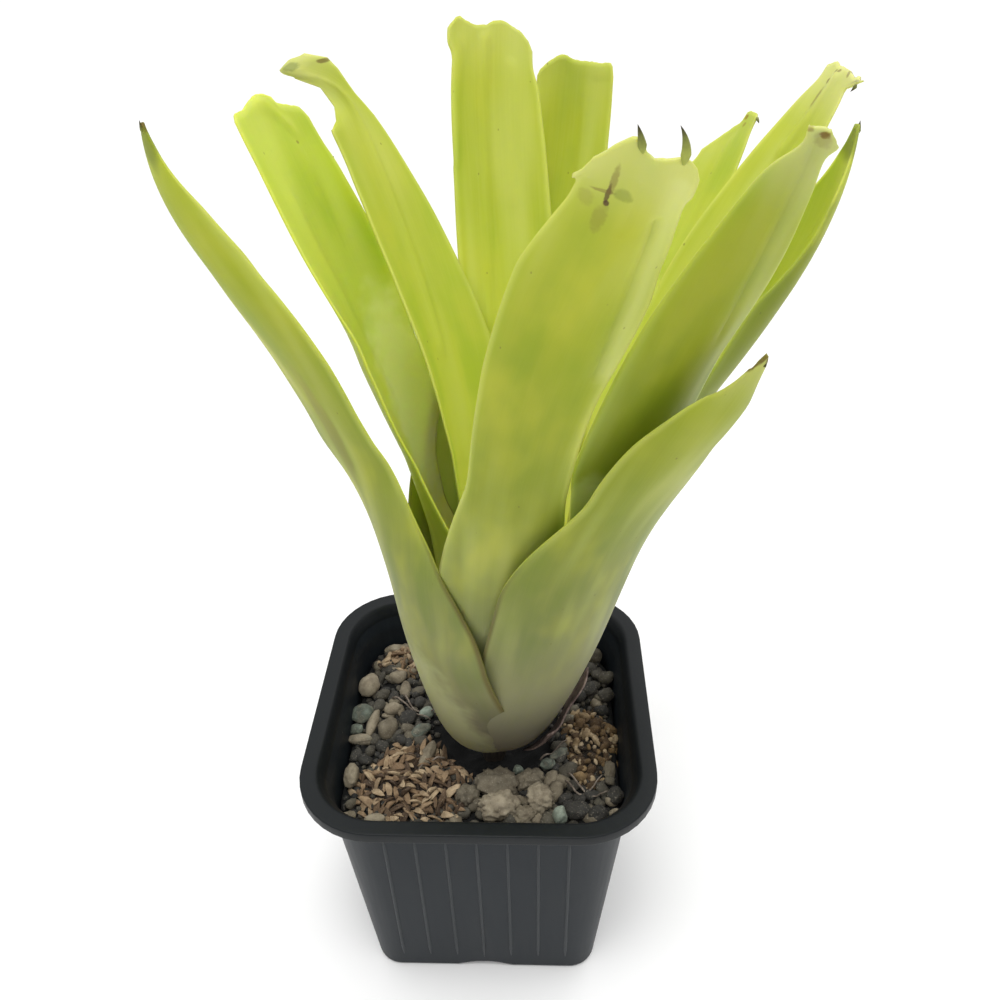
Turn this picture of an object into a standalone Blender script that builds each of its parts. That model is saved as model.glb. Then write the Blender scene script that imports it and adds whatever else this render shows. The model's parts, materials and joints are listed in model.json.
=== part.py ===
"""An aechmea, a rosette of strap leaves, in a small square nursery pot.

The origin is the middle of the pot's base, on the surface that it stands on.
All lengths are in metres and +Z is up.
"""

import math
import random
from dataclasses import dataclass

import bmesh
import bpy
from mathutils import Matrix, Vector, noise

MM = 0.001
GAP = 0.3 * MM

# the square pot
POT_HEIGHT = 68.0 * MM
BASE_WIDTH = 56.0 * MM
BASE_CORNER = 6.5 * MM
BODY_WIDTH = 70.0 * MM
BODY_CORNER = 15.0 * MM
RIM_WIDTH = 80.0 * MM
RIM_CORNER = 18.0 * MM
LIP_DROP = 2.6 * MM
WALL = 1.2 * MM
FLOOR = 1.5 * MM
BODY_TOP = 62.5 * MM
RIBS_PER_FACE = 7
RIB_SPACING = 6.8 * MM
RIB_WIDTH = 0.7 * MM
RIB_PROUD = 0.35 * MM
ARCH_WIDTH = 12.0 * MM
ARCH_HEIGHT = 1.6 * MM

# the growing mix
MIX_LEVEL = 56.0 * MM
BED_LEVEL = 55.0 * MM
MIX_RELIEF = 1.3 * MM
HOLLOW_RADIUS = 13.0 * MM
HOLLOW_DEPTH = 2.5 * MM

# the rosette stands a little to the right of the middle and leans to +X
ROSETTE_FOOT = Vector((3.0 * MM, -1.5 * MM, MIX_LEVEL))
ROSETTE_LEAN = math.radians(4.5)
STEM_RADIUS = 2.9 * MM
STEM_FOOT = -11.0 * MM
STEM_TOP = 26.0 * MM
HOLE_DEPTH = 12.0 * MM

# the sheaths wrap one inside the other, each on its own turned profile
NEST_STEP = 1.25 * MM
NEST_RISE = 0.75 * MM
LEAF_THICKNESS = 0.8 * MM
SHEATH_START_RADIUS = 3.65 * MM
SHEATH_ROWS = 9
BLADE_ROWS = 14
LEAF_COLUMNS = 8
SHEATH_WRAP = math.radians(105)

# height above the mix and radius of the rosette's outer profile
ROSETTE_PROFILE = [(0, 4), (5, 10.5), (10, 14), (18, 17), (28, 20), (40, 23), (55, 26), (75, 30), (120, 38)]


def clear_scene():
    for thing in list(bpy.data.objects):
        bpy.data.objects.remove(thing, do_unlink=True)


def material(name, colour, roughness, metallic=0.0):
    mat = bpy.data.materials.new(name)
    mat.use_nodes = True
    shader = mat.node_tree.nodes["Principled BSDF"]
    shader.inputs["Base Color"].default_value = (*colour, 1.0)
    shader.inputs["Roughness"].default_value = roughness
    shader.inputs["Metallic"].default_value = metallic
    mat.diffuse_color = (*colour, 1.0)
    return mat


def new_object(name, bm, mat, parent=None, smooth_angle=None):
    mesh = bpy.data.meshes.new(name)
    bm.to_mesh(mesh)
    bm.free()
    mesh.materials.append(mat)
    if smooth_angle is not None:
        mesh.shade_smooth()
        mesh.set_sharp_from_angle(angle=math.radians(smooth_angle))
    thing = bpy.data.objects.new(name, mesh)
    bpy.context.collection.objects.link(thing)
    thing.parent = parent
    return thing


def cutter(thing):
    thing.hide_render = True
    thing.display_type = "WIRE"
    return thing


def boolean(thing, other, operation):
    cut = thing.modifiers.new(operation.lower(), "BOOLEAN")
    cut.operation = operation
    cut.object = other
    cut.solver = "EXACT"
    return cut


def rounded_square(width, corner, z, corner_steps=6, side_steps=1):
    """Points round a square with rounded corners, anticlockwise seen from above."""
    half = width / 2
    points = []
    for quarter in range(4):
        centre = Vector(((half - corner), (half - corner), 0))
        turn = Matrix.Rotation(quarter * math.pi / 2, 3, "Z")
        arc = []
        for step in range(corner_steps + 1):
            angle = step * math.pi / 2 / corner_steps
            arc.append(turn @ (centre + corner * Vector((math.cos(angle), math.sin(angle), 0))))
        points.extend(arc)
        after = turn @ Matrix.Rotation(math.pi / 2, 3, "Z") @ (centre + Vector((corner, 0, 0)))
        for step in range(1, side_steps):
            points.append(arc[-1].lerp(after, step / side_steps))
    return [Vector((p.x, p.y, z)) for p in points]


def loft(bm, loops):
    """Skin a list of loops that have the same number of points."""
    rings = [[bm.verts.new(p) for p in loop] for loop in loops]
    for lower, upper in zip(rings, rings[1:]):
        count = len(lower)
        for i in range(count):
            j = (i + 1) % count
            bm.faces.new((lower[i], lower[j], upper[j], upper[i]))
    return rings


def face_outwards(bm):
    bmesh.ops.recalc_face_normals(bm, faces=bm.faces[:])


# the pot: one skin from the underside, up the outside, over the rim and down inside
def make_pot(mat):
    def width_at(z):
        return BASE_WIDTH + (BODY_WIDTH - BASE_WIDTH) * z / BODY_TOP

    def corner_at(z):
        return BASE_CORNER + (BODY_CORNER - BASE_CORNER) * z / BODY_TOP

    top = POT_HEIGHT
    lip_foot = top - LIP_DROP
    profile = [
        (BASE_WIDTH - 1.2 * MM, BASE_CORNER - 0.6 * MM, 0.0),
        (BASE_WIDTH, BASE_CORNER, 0.6 * MM),
        (BODY_WIDTH, BODY_CORNER, BODY_TOP),
        (BODY_WIDTH + 1.6 * MM, BODY_CORNER + 0.6 * MM, BODY_TOP + 2.2 * MM),
        (BODY_WIDTH + 4.4 * MM, BODY_CORNER + 1.6 * MM, BODY_TOP + 3.8 * MM),
        (RIM_WIDTH - 2.6 * MM, RIM_CORNER - 1.2 * MM, BODY_TOP + 4.2 * MM),
        (RIM_WIDTH - 2.2 * MM, RIM_CORNER - 1.0 * MM, lip_foot),
        (RIM_WIDTH, RIM_CORNER, lip_foot),
        (RIM_WIDTH, RIM_CORNER, top - 0.6 * MM),
        (RIM_WIDTH - 1.2 * MM, RIM_CORNER - 0.5 * MM, top),
        (RIM_WIDTH - 7.0 * MM, RIM_CORNER - 3.0 * MM, top),
        (RIM_WIDTH - 8.4 * MM, RIM_CORNER - 3.6 * MM, top - 0.7 * MM),
        (RIM_WIDTH - 10.4 * MM, RIM_CORNER - 4.1 * MM, top - 2.4 * MM),
        (width_at(BODY_TOP) - 2 * WALL, BODY_CORNER - WALL, BODY_TOP - 0.6 * MM),
        (width_at(FLOOR) - 2 * WALL, corner_at(FLOOR) - WALL, FLOOR),
    ]
    bm = bmesh.new()
    rings = loft(bm, [rounded_square(w, r, z) for w, r, z in profile])
    bm.faces.new(list(reversed(rings[0])))
    bm.faces.new(rings[-1])
    face_outwards(bm)
    pot = new_object("nursery_pot", bm, mat, smooth_angle=35)

    # fine upright ribs on the four faces, standing a little proud of the wall
    slope = math.atan2((BODY_WIDTH - BASE_WIDTH) / 2, BODY_TOP)
    ribs = bmesh.new()
    length = 56.0 * MM
    middle_z = 32.0 * MM
    for face in range(4):
        turn = Matrix.Rotation(face * math.pi / 2, 4, "Z")
        for i in range(RIBS_PER_FACE):
            x = (i - (RIBS_PER_FACE - 1) / 2) * RIB_SPACING
            made = bmesh.ops.create_cube(ribs, size=1.0)
            place = (
                turn
                @ Matrix.Translation((x, -width_at(middle_z) / 2, middle_z))
                @ Matrix.Rotation(slope, 4, "X")
                @ Matrix.Diagonal((RIB_WIDTH, 2 * RIB_PROUD, length, 1))
            )
            bmesh.ops.transform(ribs, matrix=place, verts=made["verts"])
    rib_body = cutter(new_object("pot_ribs_guide", ribs, mat))
    boolean(pot, rib_body, "UNION")

    # a shallow arch under each bottom edge lets water out
    arches = bmesh.new()
    radius = (ARCH_WIDTH**2 / 4 + ARCH_HEIGHT**2) / (2 * ARCH_HEIGHT)
    for face in range(4):
        turn = Matrix.Rotation(face * math.pi / 2, 4, "Z")
        outline = []
        for step in range(7):
            x = ARCH_WIDTH * (step / 6 - 0.5)
            z = math.sqrt(radius**2 - x**2) - radius + ARCH_HEIGHT
            outline.append((x, z))
        outline += [(ARCH_WIDTH / 2, -1 * MM), (-ARCH_WIDTH / 2, -1 * MM)]
        near = [arches.verts.new(turn @ Vector((x, -BASE_WIDTH / 2 - 2 * MM, z))) for x, z in outline]
        far = [arches.verts.new(turn @ Vector((x, -BASE_WIDTH / 2 + 2.4 * MM, z))) for x, z in outline]
        count = len(outline)
        for i in range(count):
            j = (i + 1) % count
            arches.faces.new((near[i], near[j], far[j], far[i]))
        arches.faces.new(near)
        arches.faces.new(list(reversed(far)))
    face_outwards(arches)
    arch_body = cutter(new_object("pot_arches_guide", arches, mat))
    boolean(pot, arch_body, "DIFFERENCE")
    return pot


# beds where the clumps of coarse pieces lie: middle x, y and half sizes, in mm
BEDS = {
    "husk_clump_front": (-16.5, -17.0, 14.0, 12.0),
    "husk_clump_back": (-24.0, 25.5, 7.0, 6.5),
    "pebbles_left": (-22.5, 7.0, 8.5, 10.0),
    "pale_lumps_front": (9.0, -21.5, 10.5, 7.5),
    "bark_clump_right": (26.0, -4.0, 6.0, 13.0),
}


def in_bed(x, y, grow=2.4):
    """How far inside the nearest bed a point is: 1 well inside, 0 outside."""
    best = 0.0
    for cx, cy, rx, ry in BEDS.values():
        d = math.hypot((x / MM - cx) / (rx + grow), (y / MM - cy) / (ry + grow))
        best = max(best, min(1.0, max(0.0, (1.12 - d) / 0.12)))
    return best


def mix_height(x, y):
    lumps = noise.noise(Vector((x, y, 0.0)) / (5.0 * MM)) + 0.5 * noise.noise(Vector((x, y, 0.01)) / (2.6 * MM))
    z = MIX_LEVEL + MIX_RELIEF * lumps
    away = math.hypot(x - ROSETTE_FOOT.x, y - ROSETTE_FOOT.y)
    hollow = max(0.0, 1.0 - away / HOLLOW_RADIUS)
    z -= HOLLOW_DEPTH * hollow ** 0.8
    bed = in_bed(x, y)
    return z * (1 - bed) + BED_LEVEL * bed


# the mix fills the pot, 0.3 mm clear of its wall, with lumps, a hollow round the stem and
# one plain hole for it
def make_mix(mat):
    def clear_width(z):
        outer = BASE_WIDTH + (BODY_WIDTH - BASE_WIDTH) * z / BODY_TOP
        return outer - 2 * WALL - 2 * GAP

    def clear_corner(z):
        return BASE_CORNER + (BODY_CORNER - BASE_CORNER) * z / BODY_TOP - WALL - GAP / 2

    edge_z = MIX_LEVEL - 1.5 * MM
    side_loops = []
    for z in (FLOOR + GAP, edge_z):
        side_loops.append(rounded_square(clear_width(z), clear_corner(z), z, 6, 6))
    rim = side_loops[-1]
    top_loops = []
    rings = 11
    for ring in range(1, rings):
        share = 1 - ring / rings
        loop = []
        for p in rim:
            x = p.x * share + ROSETTE_FOOT.x * (1 - share)
            y = p.y * share + ROSETTE_FOOT.y * (1 - share)
            loop.append(Vector((x, y, mix_height(x, y))))
        top_loops.append(loop)
    bm = bmesh.new()
    made = loft(bm, side_loops + top_loops)
    bm.faces.new(list(reversed(made[0])))
    centre = bm.verts.new((ROSETTE_FOOT.x, ROSETTE_FOOT.y, mix_height(ROSETTE_FOOT.x, ROSETTE_FOOT.y)))
    last = made[-1]
    for i in range(len(last)):
        bm.faces.new((last[i], last[(i + 1) % len(last)], centre))
    face_outwards(bm)
    mix = new_object("potting_mix", bm, mat)

    hole = bmesh.new()
    bmesh.ops.create_cone(
        hole, cap_ends=True, segments=24, radius1=STEM_RADIUS + GAP, radius2=STEM_RADIUS + GAP, depth=2 * HOLE_DEPTH
    )
    hole_body = cutter(new_object("stem_hole_guide", hole, mat))
    hole_body.location = ROSETTE_FOOT
    hole_body.rotation_euler = (0, ROSETTE_LEAN, 0)
    boolean(mix, hole_body, "DIFFERENCE")
    return mix


# a clump is many flakes or pebbles grown together on a thin common base
def make_clump(name, mat, seed, pieces, size, flat, top, detail, tilt):
    cx, cy, rx, ry = (value * MM for value in BEDS[name])
    chance = random.Random(seed)
    floor_z = BED_LEVEL + GAP
    base = bmesh.new()
    crest = 0.7 * top
    loops = []
    for share, z in ((0.9, -0.5), (0.84, 0.3), (0.3, crest)):
        loop = []
        for step in range(16):
            angle = step * math.tau / 16
            reach = share * (1 + 0.14 * math.sin(3 * angle + seed) + 0.08 * math.sin(5 * angle + 2 * seed))
            x = cx + rx * reach * math.cos(angle)
            y = cy + ry * reach * math.sin(angle)
            loop.append(Vector((x, y, floor_z + z * MM)))
        loops.append(loop)
    rings = loft(base, loops)
    base.faces.new(list(reversed(rings[0])))
    base.faces.new(rings[-1])
    face_outwards(base)
    clump = new_object(name, base, mat)
    flakes = bmesh.new()
    golden = math.pi * (3 - math.sqrt(5))
    for i in range(pieces):
        out = math.sqrt((i + 0.5) / pieces)
        angle = i * golden + seed
        long = size[0] * chance.uniform(0.75, 1.2) * MM / 2
        wide = size[1] * chance.uniform(0.8, 1.2) * MM / 2
        thick = flat * wide
        x = cx + (rx - 0.8 * long) * out * math.cos(angle)
        y = cy + (ry - 0.8 * long) * out * math.sin(angle)
        dome = 0.3 + (crest - 0.3) * min(1.0, max(0.0, (0.86 - out) / 0.56))
        z = floor_z + (dome + size[1] * chance.uniform(0.1, 0.3)) * MM
        lump = bmesh.ops.create_icosphere(flakes, subdivisions=detail, radius=1.0)
        place = (
            Matrix.Translation((x, y, z))
            @ Matrix.Rotation(chance.uniform(0, 2 * math.pi), 4, "Z")
            @ Matrix.Rotation(chance.uniform(-tilt, tilt), 4, "Y")
            @ Matrix.Rotation(chance.uniform(-tilt, tilt), 4, "X")
            @ Matrix.Diagonal((long, wide, thick, 1))
        )
        bmesh.ops.transform(flakes, matrix=place, verts=lump["verts"])
    flake_body = cutter(new_object(name + "_guide", flakes, mat))
    joined = boolean(clump, flake_body, "UNION")
    joined.use_self = True
    below = bmesh.new()
    made = bmesh.ops.create_cube(below, size=1.0)
    place = Matrix.Translation((cx, cy, floor_z - 5 * MM)) @ Matrix.Diagonal((60 * MM, 60 * MM, 10 * MM, 1))
    bmesh.ops.transform(below, matrix=place, verts=made["verts"])
    below_body = cutter(new_object(name + "_below_guide", below, mat))
    boolean(clump, below_body, "DIFFERENCE")
    return clump


# the short stem stands in the hole; the sheaths wrap it
def make_stem(mat, rosette):
    bm = bmesh.new()
    loops = []
    for z, radius in (
        (STEM_FOOT, STEM_RADIUS * 0.8),
        (STEM_FOOT + 1.5 * MM, STEM_RADIUS),
        (0.0, STEM_RADIUS),
        (STEM_TOP - 4 * MM, STEM_RADIUS * 0.95),
        (STEM_TOP - 1 * MM, STEM_RADIUS * 0.7),
        (STEM_TOP, STEM_RADIUS * 0.3),
    ):
        loop = []
        for step in range(20):
            angle = step * math.tau / 20
            loop.append(Vector((radius * math.cos(angle), radius * math.sin(angle), z)))
        loops.append(loop)
    rings = loft(bm, loops)
    bm.faces.new(list(reversed(rings[0])))
    bm.faces.new(rings[-1])
    face_outwards(bm)
    return new_object("rosette_stem", bm, mat, rosette, smooth_angle=40)


def smooth_step(t):
    t = min(1.0, max(0.0, t))
    return t * t * (3 - 2 * t)


def profile_radius(height):
    """Radius of the rosette's outside at a height, in mm: a smooth curve through the profile."""
    points = ROSETTE_PROFILE
    height = max(0.0, height)
    for i in range(len(points) - 1):
        (h0, r0), (h1, r1) = points[i], points[i + 1]
        if height <= h1:
            break
    before = points[max(0, i - 1)]
    after = points[min(len(points) - 1, i + 2)]
    slope_in = (r1 - before[1]) / (h1 - before[0])
    slope_out = (after[1] - r0) / (after[0] - h0)
    span = h1 - h0
    t = (height - h0) / span
    return (
        (2 * t**3 - 3 * t**2 + 1) * r0
        + (t**3 - 2 * t**2 + t) * span * slope_in
        + (3 * t**2 - 2 * t**3) * r1
        + (t**3 - t**2) * span * slope_out
    )


@dataclass
class Leaf:
    """One strap leaf: a sheath that wraps the stem, then a channelled blade.

    Angles are in degrees and lengths in mm. azimuth is the way the leaf points, nest its place
    counted from the outermost sheath, throat the height where the blade leaves the rosette's
    profile, reach and height where the tip ends, swing its shift to the leaf's left, rise the
    tip's direction above the horizon, low_pull and high_pull how far the bend keeps to the
    directions of its two ends, sheath and blade half widths along the arc, shoulder the share
    of the blade over which the one runs into the other, channel and
    end_channel how far the half blade curls at the middle and at the tip, twist the turn about
    the blade's own line, taper the tip's share of the blade's width. round_off, slant, notch
    and notch_at shape the end edge. hook bends the last part sideways.
    """

    name: str
    azimuth: float
    nest: int
    throat: float
    reach: float
    height: float
    swing: float = 0
    rise: float = 75
    low_pull: float = 0.4
    high_pull: float = 0.25
    sheath: float = 15
    blade: float = 10
    shoulder: float = 0.45
    channel: float = 55
    end_channel: float = 30
    twist: float = 0
    taper: float = 0.8
    round_off: float = 2.0
    slant: float = 0.0
    notch: float = 0.0
    notch_at: float = 0.0
    hook: float = 0.0

    def radius(self, height):
        return profile_radius(height - self.nest * NEST_RISE / MM) - self.nest * NEST_STEP / MM

    def start(self):
        height = 0.0
        while self.radius(height) < SHEATH_START_RADIUS / MM:
            height += 0.25
        return height

    def rows(self):
        """Centre line, inward direction, crosswise direction, half width and curl of each row."""
        azimuth = math.radians(self.azimuth)
        out = Vector((math.cos(azimuth), math.sin(azimuth), 0))
        left = Vector((-math.sin(azimuth), math.cos(azimuth), 0))
        up = Vector((0, 0, 1))
        first = self.start()
        heights = [first + (self.throat - first) * (i / SHEATH_ROWS) ** 1.25 for i in range(SHEATH_ROWS + 1)]
        line = [self.radius(h) * out + h * up for h in heights]
        share = [0.0] * len(line)
        flare = self.radius(self.throat + 0.5) - self.radius(self.throat - 0.5)
        begin = line[-1]
        begin_way = (flare * out + up).normalized()
        end = self.reach * out + self.swing * left + self.height * up
        rise = math.radians(self.rise)
        end_way = math.cos(rise) * out + math.sin(rise) * up
        length = (end - begin).length
        p1 = begin + self.low_pull * length * begin_way
        p2 = end - self.high_pull * length * end_way
        for i in range(1, BLADE_ROWS + 1):
            t = i / BLADE_ROWS
            point = (1 - t) ** 3 * begin + 3 * t * (1 - t) ** 2 * p1 + 3 * t * t * (1 - t) * p2 + t**3 * end
            line.append(point)
            share.append(t)
        if self.hook:
            for i, t in enumerate(share):
                bend = max(0.0, (t - 0.85) / 0.15)
                line[i] = line[i] + self.hook * bend**2 * left - 0.25 * abs(self.hook) * bend**3 * up
        rows = []
        for i, point in enumerate(line):
            ahead = line[min(i + 1, len(line) - 1)]
            behind = line[max(i - 1, 0)]
            along = (ahead - behind).normalized()
            across = (left - left.dot(along) * along).normalized()
            inward = across.cross(along)
            if inward.dot(0.2 * up - out) < 0:
                inward = -inward
            t = share[i]
            inward = (-out).lerp(inward, smooth_step(t / 0.35)).normalized()
            turn = math.radians(self.twist) * smooth_step(t)
            inward, across = (
                inward * math.cos(turn) + across * math.sin(turn),
                across * math.cos(turn) - inward * math.sin(turn),
            )
            if t == 0.0:
                around = self.radius(heights[i])
                width = min(self.sheath, SHEATH_WRAP * around)
            else:
                width = self.sheath + (self.blade - self.sheath) * smooth_step(t / self.shoulder)
                width *= 1 - (1 - self.taper) * max(0.0, (t - 0.45) / 0.55) ** 1.6
                curl = self.channel + (self.end_channel - self.channel) * smooth_step((t - 0.5) / 0.5)
                free = smooth_step((t - 0.18) / 0.5)
                around = point.dot(out) * (1 - free) + width / math.radians(curl) * free
            rows.append((point, inward, across, width, around, along, t))
        return rows

    def end_cut(self, v):
        """How much of the blade's length is missing at a place across it, in mm."""
        cut = self.round_off * abs(v) ** 3
        cut += abs(self.slant) * max(0.0, v * math.copysign(1.0, self.slant)) ** 2
        cut += self.notch * math.exp(-(((v - self.notch_at) / 0.3) ** 2))
        return cut

    def surface(self):
        """The leaf's middle surface, a grid of points in metres."""
        grid = []
        for point, inward, across, width, around, along, t in self.rows():
            row = []
            for column in range(LEAF_COLUMNS + 1):
                v = 2 * column / LEAF_COLUMNS - 1
                angle = v * width / around
                place = point + around * (1 - math.cos(angle)) * inward + around * math.sin(angle) * across
                back = self.end_cut(v) * smooth_step((t - 0.8) / 0.2)
                row.append((place - back * along) * MM)
            grid.append(row)
        return grid

    def build(self, mat, rosette):
        bm = bmesh.new()
        rows = [[bm.verts.new(p) for p in row] for row in self.surface()]
        for low, high in zip(rows, rows[1:]):
            for i in range(LEAF_COLUMNS):
                if i < LEAF_COLUMNS // 2:
                    bm.faces.new((low[i], low[i + 1], high[i]))
                    bm.faces.new((low[i + 1], high[i + 1], high[i]))
                else:
                    bm.faces.new((low[i], low[i + 1], high[i + 1]))
                    bm.faces.new((low[i], high[i + 1], high[i]))
        leaf = new_object(self.name, bm, mat, rosette, smooth_angle=60)
        skin = leaf.modifiers.new("thickness", "SOLIDIFY")
        skin.thickness = LEAF_THICKNESS
        skin.offset = 0.0
        return leaf


LEAVES = [
    Leaf("leaf_left_low", azimuth=188, nest=0, throat=44, reach=64, height=144, rise=86, low_pull=0.66,
         high_pull=0.27, sheath=30, blade=10.2, shoulder=0.32, channel=56, end_channel=15, twist=5,
         taper=0.12),
    Leaf("leaf_front_right_low", azimuth=308, nest=1, throat=62, reach=53, height=126, rise=70,
         low_pull=0.45, high_pull=0.4, sheath=20, blade=11.6, channel=48, end_channel=42, twist=15,
         taper=0.12),
    Leaf("leaf_back_low", azimuth=117, nest=2, throat=50, reach=42, height=110, rise=60, sheath=17,
         blade=9.5, channel=50, end_channel=30, taper=0.25),
    Leaf("leaf_back_right_low", azimuth=52, nest=3, throat=50, reach=48, height=112, rise=58, sheath=16,
         blade=9.2, channel=50, end_channel=30, taper=0.4),
    Leaf("leaf_front", azimuth=263, nest=4, throat=54, reach=54, height=156, swing=16, rise=73,
         low_pull=0.67, high_pull=0.15, sheath=14, blade=10.4, channel=42, end_channel=32, twist=2,
         taper=0.85, round_off=0.5, slant=-11, notch=2.5, notch_at=0.4),
    Leaf("leaf_right_low", azimuth=5, nest=5, throat=47, reach=53, height=148, rise=91, low_pull=0.4,
         high_pull=0.31, sheath=15, blade=9.6, channel=62, end_channel=34, twist=-5, taper=0.2),
    Leaf("leaf_left", azimuth=155, nest=6, throat=38, reach=57, height=139, rise=59, low_pull=0.33,
         high_pull=0.45, sheath=14, blade=10.2, channel=47, end_channel=18, twist=12, taper=0.88,
         round_off=2.5),
    Leaf("leaf_right_front", azimuth=308, nest=7, throat=40, reach=55, height=156, swing=-1, rise=72,
         low_pull=0.38, high_pull=0.18, sheath=14, blade=11.2, channel=47, end_channel=25, twist=15,
         taper=0.27),
    Leaf("leaf_right_high", azimuth=22, nest=9, throat=48, reach=57, height=153, rise=64, low_pull=0.4,
         high_pull=0.22, sheath=14, blade=9.8, channel=52, end_channel=24, taper=0.45),
    Leaf("leaf_back_right_inner", azimuth=43, nest=8, throat=50, reach=54, height=143, rise=64,
         low_pull=0.36, high_pull=0.3, sheath=12, blade=9.4, channel=34, end_channel=30, taper=0.5),
    Leaf("leaf_back_right", azimuth=79, nest=10, throat=57, reach=42, height=149, swing=1, rise=90,
         high_pull=0.33, sheath=13, blade=9.1, channel=40, end_channel=31, taper=0.8, round_off=2.0),
    Leaf("leaf_back", azimuth=93, nest=11, throat=60, reach=38, height=156, swing=8, rise=70,
         low_pull=0.42, high_pull=0.25, sheath=12, blade=10.2, channel=38, end_channel=28, taper=0.8,
         slant=-6, round_off=1.0),
    Leaf("leaf_left_back", azimuth=141, nest=12, throat=46, reach=52, height=149, swing=2, rise=50,
         low_pull=0.27, high_pull=0.6, sheath=13, blade=10.2, channel=42, end_channel=19, taper=0.36,
         hook=9),
]


def main():
    clear_scene()
    black_plastic = material("black_plastic", (0.022, 0.024, 0.026), 0.55)
    mix_brown = material("potting_mix_brown", (0.115, 0.085, 0.062), 0.95)
    husk_tan = material("husk_tan", (0.33, 0.24, 0.15), 0.9)
    pebble_tan = material("pebble_tan", (0.26, 0.22, 0.16), 0.85)
    lump_pale = material("lump_pale", (0.36, 0.29, 0.21), 0.88)
    bark_brown = material("bark_brown", (0.21, 0.15, 0.09), 0.95)
    stem_tan = material("stem_tan", (0.36, 0.29, 0.19), 0.7)
    leaf_green = material("leaf_yellow_green", (0.44, 0.53, 0.10), 0.42)
    make_pot(black_plastic)
    make_mix(mix_brown)
    make_clump("husk_clump_front", husk_tan, 3, 20, (7.0, 3.3), 0.5, 3.4, 1, 0.75)
    make_clump("husk_clump_back", husk_tan, 5, 8, (6.0, 3.2), 0.5, 2.4, 1, 0.7)
    make_clump("pebbles_left", pebble_tan, 7, 6, (8.0, 6.4), 0.75, 1.2, 2, 0.3)
    make_clump("pale_lumps_front", lump_pale, 11, 5, (8.4, 6.4), 0.8, 1.6, 2, 0.4)
    make_clump("bark_clump_right", bark_brown, 13, 12, (6.8, 4.0), 0.6, 2.6, 1, 0.8)
    rosette = bpy.data.objects.new("rosette_frame", None)
    bpy.context.collection.objects.link(rosette)
    rosette.location = ROSETTE_FOOT
    rosette.rotation_euler = (0, ROSETTE_LEAN, 0)
    make_stem(stem_tan, rosette)
    for leaf in LEAVES:
        leaf.build(leaf_green, rosette)


main()
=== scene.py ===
# %% [markdown]
# # An aechmea in a small square nursery pot
# The plant is a rosette: strap leaves wrap one another at the foot like rolled paper and
# spread above it. It stands in a thin black pot of coarse mix, made of husks, pebbles and
# bark. The solid model is made already. This lesson dresses it, piece by piece,
# with finer shapes and with finishes worked out by maths. Lengths are metres and +Z is up.

import json
import math
from dataclasses import dataclass, field

import bmesh
import bpy
import numpy as np
from mathutils import Matrix, Vector, noise


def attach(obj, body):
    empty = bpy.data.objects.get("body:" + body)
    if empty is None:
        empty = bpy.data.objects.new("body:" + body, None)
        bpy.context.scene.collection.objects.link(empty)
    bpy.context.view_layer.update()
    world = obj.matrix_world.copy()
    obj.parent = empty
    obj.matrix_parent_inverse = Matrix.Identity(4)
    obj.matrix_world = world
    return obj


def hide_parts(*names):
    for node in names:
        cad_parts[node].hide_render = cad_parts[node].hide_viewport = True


MM = 0.001
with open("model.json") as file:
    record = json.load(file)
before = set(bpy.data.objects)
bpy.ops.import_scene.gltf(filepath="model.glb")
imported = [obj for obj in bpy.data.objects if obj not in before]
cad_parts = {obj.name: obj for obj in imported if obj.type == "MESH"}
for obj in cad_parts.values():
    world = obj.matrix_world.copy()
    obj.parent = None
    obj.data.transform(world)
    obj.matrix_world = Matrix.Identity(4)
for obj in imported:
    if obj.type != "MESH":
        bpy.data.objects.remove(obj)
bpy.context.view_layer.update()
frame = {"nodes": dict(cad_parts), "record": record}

# %% [markdown]
# ## The camera
# The viewer looks down on the pot from in front, close enough for the near leaf to look
# large. A camera needs a place, three angles and a lens. Turning angles into the camera's
# own right, up and forward directions is safer than guessing at Euler numbers, because each
# direction can be checked by eye.

# %% Camera
CAMERA_PLACE = Vector((13.17, -167.83, 237.46)) * MM
CAMERA_YAW, CAMERA_DOWN, CAMERA_ROLL = (math.radians(a) for a in (2.6345, 33.643, -1.3996))
CAMERA_LENS = 34.67


def make_camera():
    level = Vector((math.cos(CAMERA_YAW), math.sin(CAMERA_YAW), 0))
    ahead = Vector((-math.sin(CAMERA_YAW), math.cos(CAMERA_YAW), 0)) * math.cos(CAMERA_DOWN)
    ahead.z = -math.sin(CAMERA_DOWN)
    above = level.cross(ahead)
    right = level * math.cos(CAMERA_ROLL) + above * math.sin(CAMERA_ROLL)
    up = above * math.cos(CAMERA_ROLL) - level * math.sin(CAMERA_ROLL)
    camera = bpy.data.objects.new("camera", bpy.data.cameras.new("camera"))
    camera.data.lens = CAMERA_LENS
    camera.data.sensor_width = 36
    camera.data.clip_start = 0.01
    turn = Matrix((right, up, -ahead)).transposed().to_4x4()
    camera.matrix_world = Matrix.Translation(CAMERA_PLACE) @ turn
    bpy.context.collection.objects.link(camera)
    bpy.context.scene.camera = camera
    return camera


print("camera at", [round(v, 3) for v in make_camera().location])

# %% [markdown]
# ## Maths as expressions
# A finish is a small calculation at each point of a surface, and so is a shape made by
# Geometry Nodes. Wiring dozens of Math nodes by hand is hard to read. `Wire` stands for one
# socket and knows +, -, * and /, so `1 - mask` adds the right node by itself. `Bench` is the
# tree it works on, with one method that adds any node: settings first, then its sockets.

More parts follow.
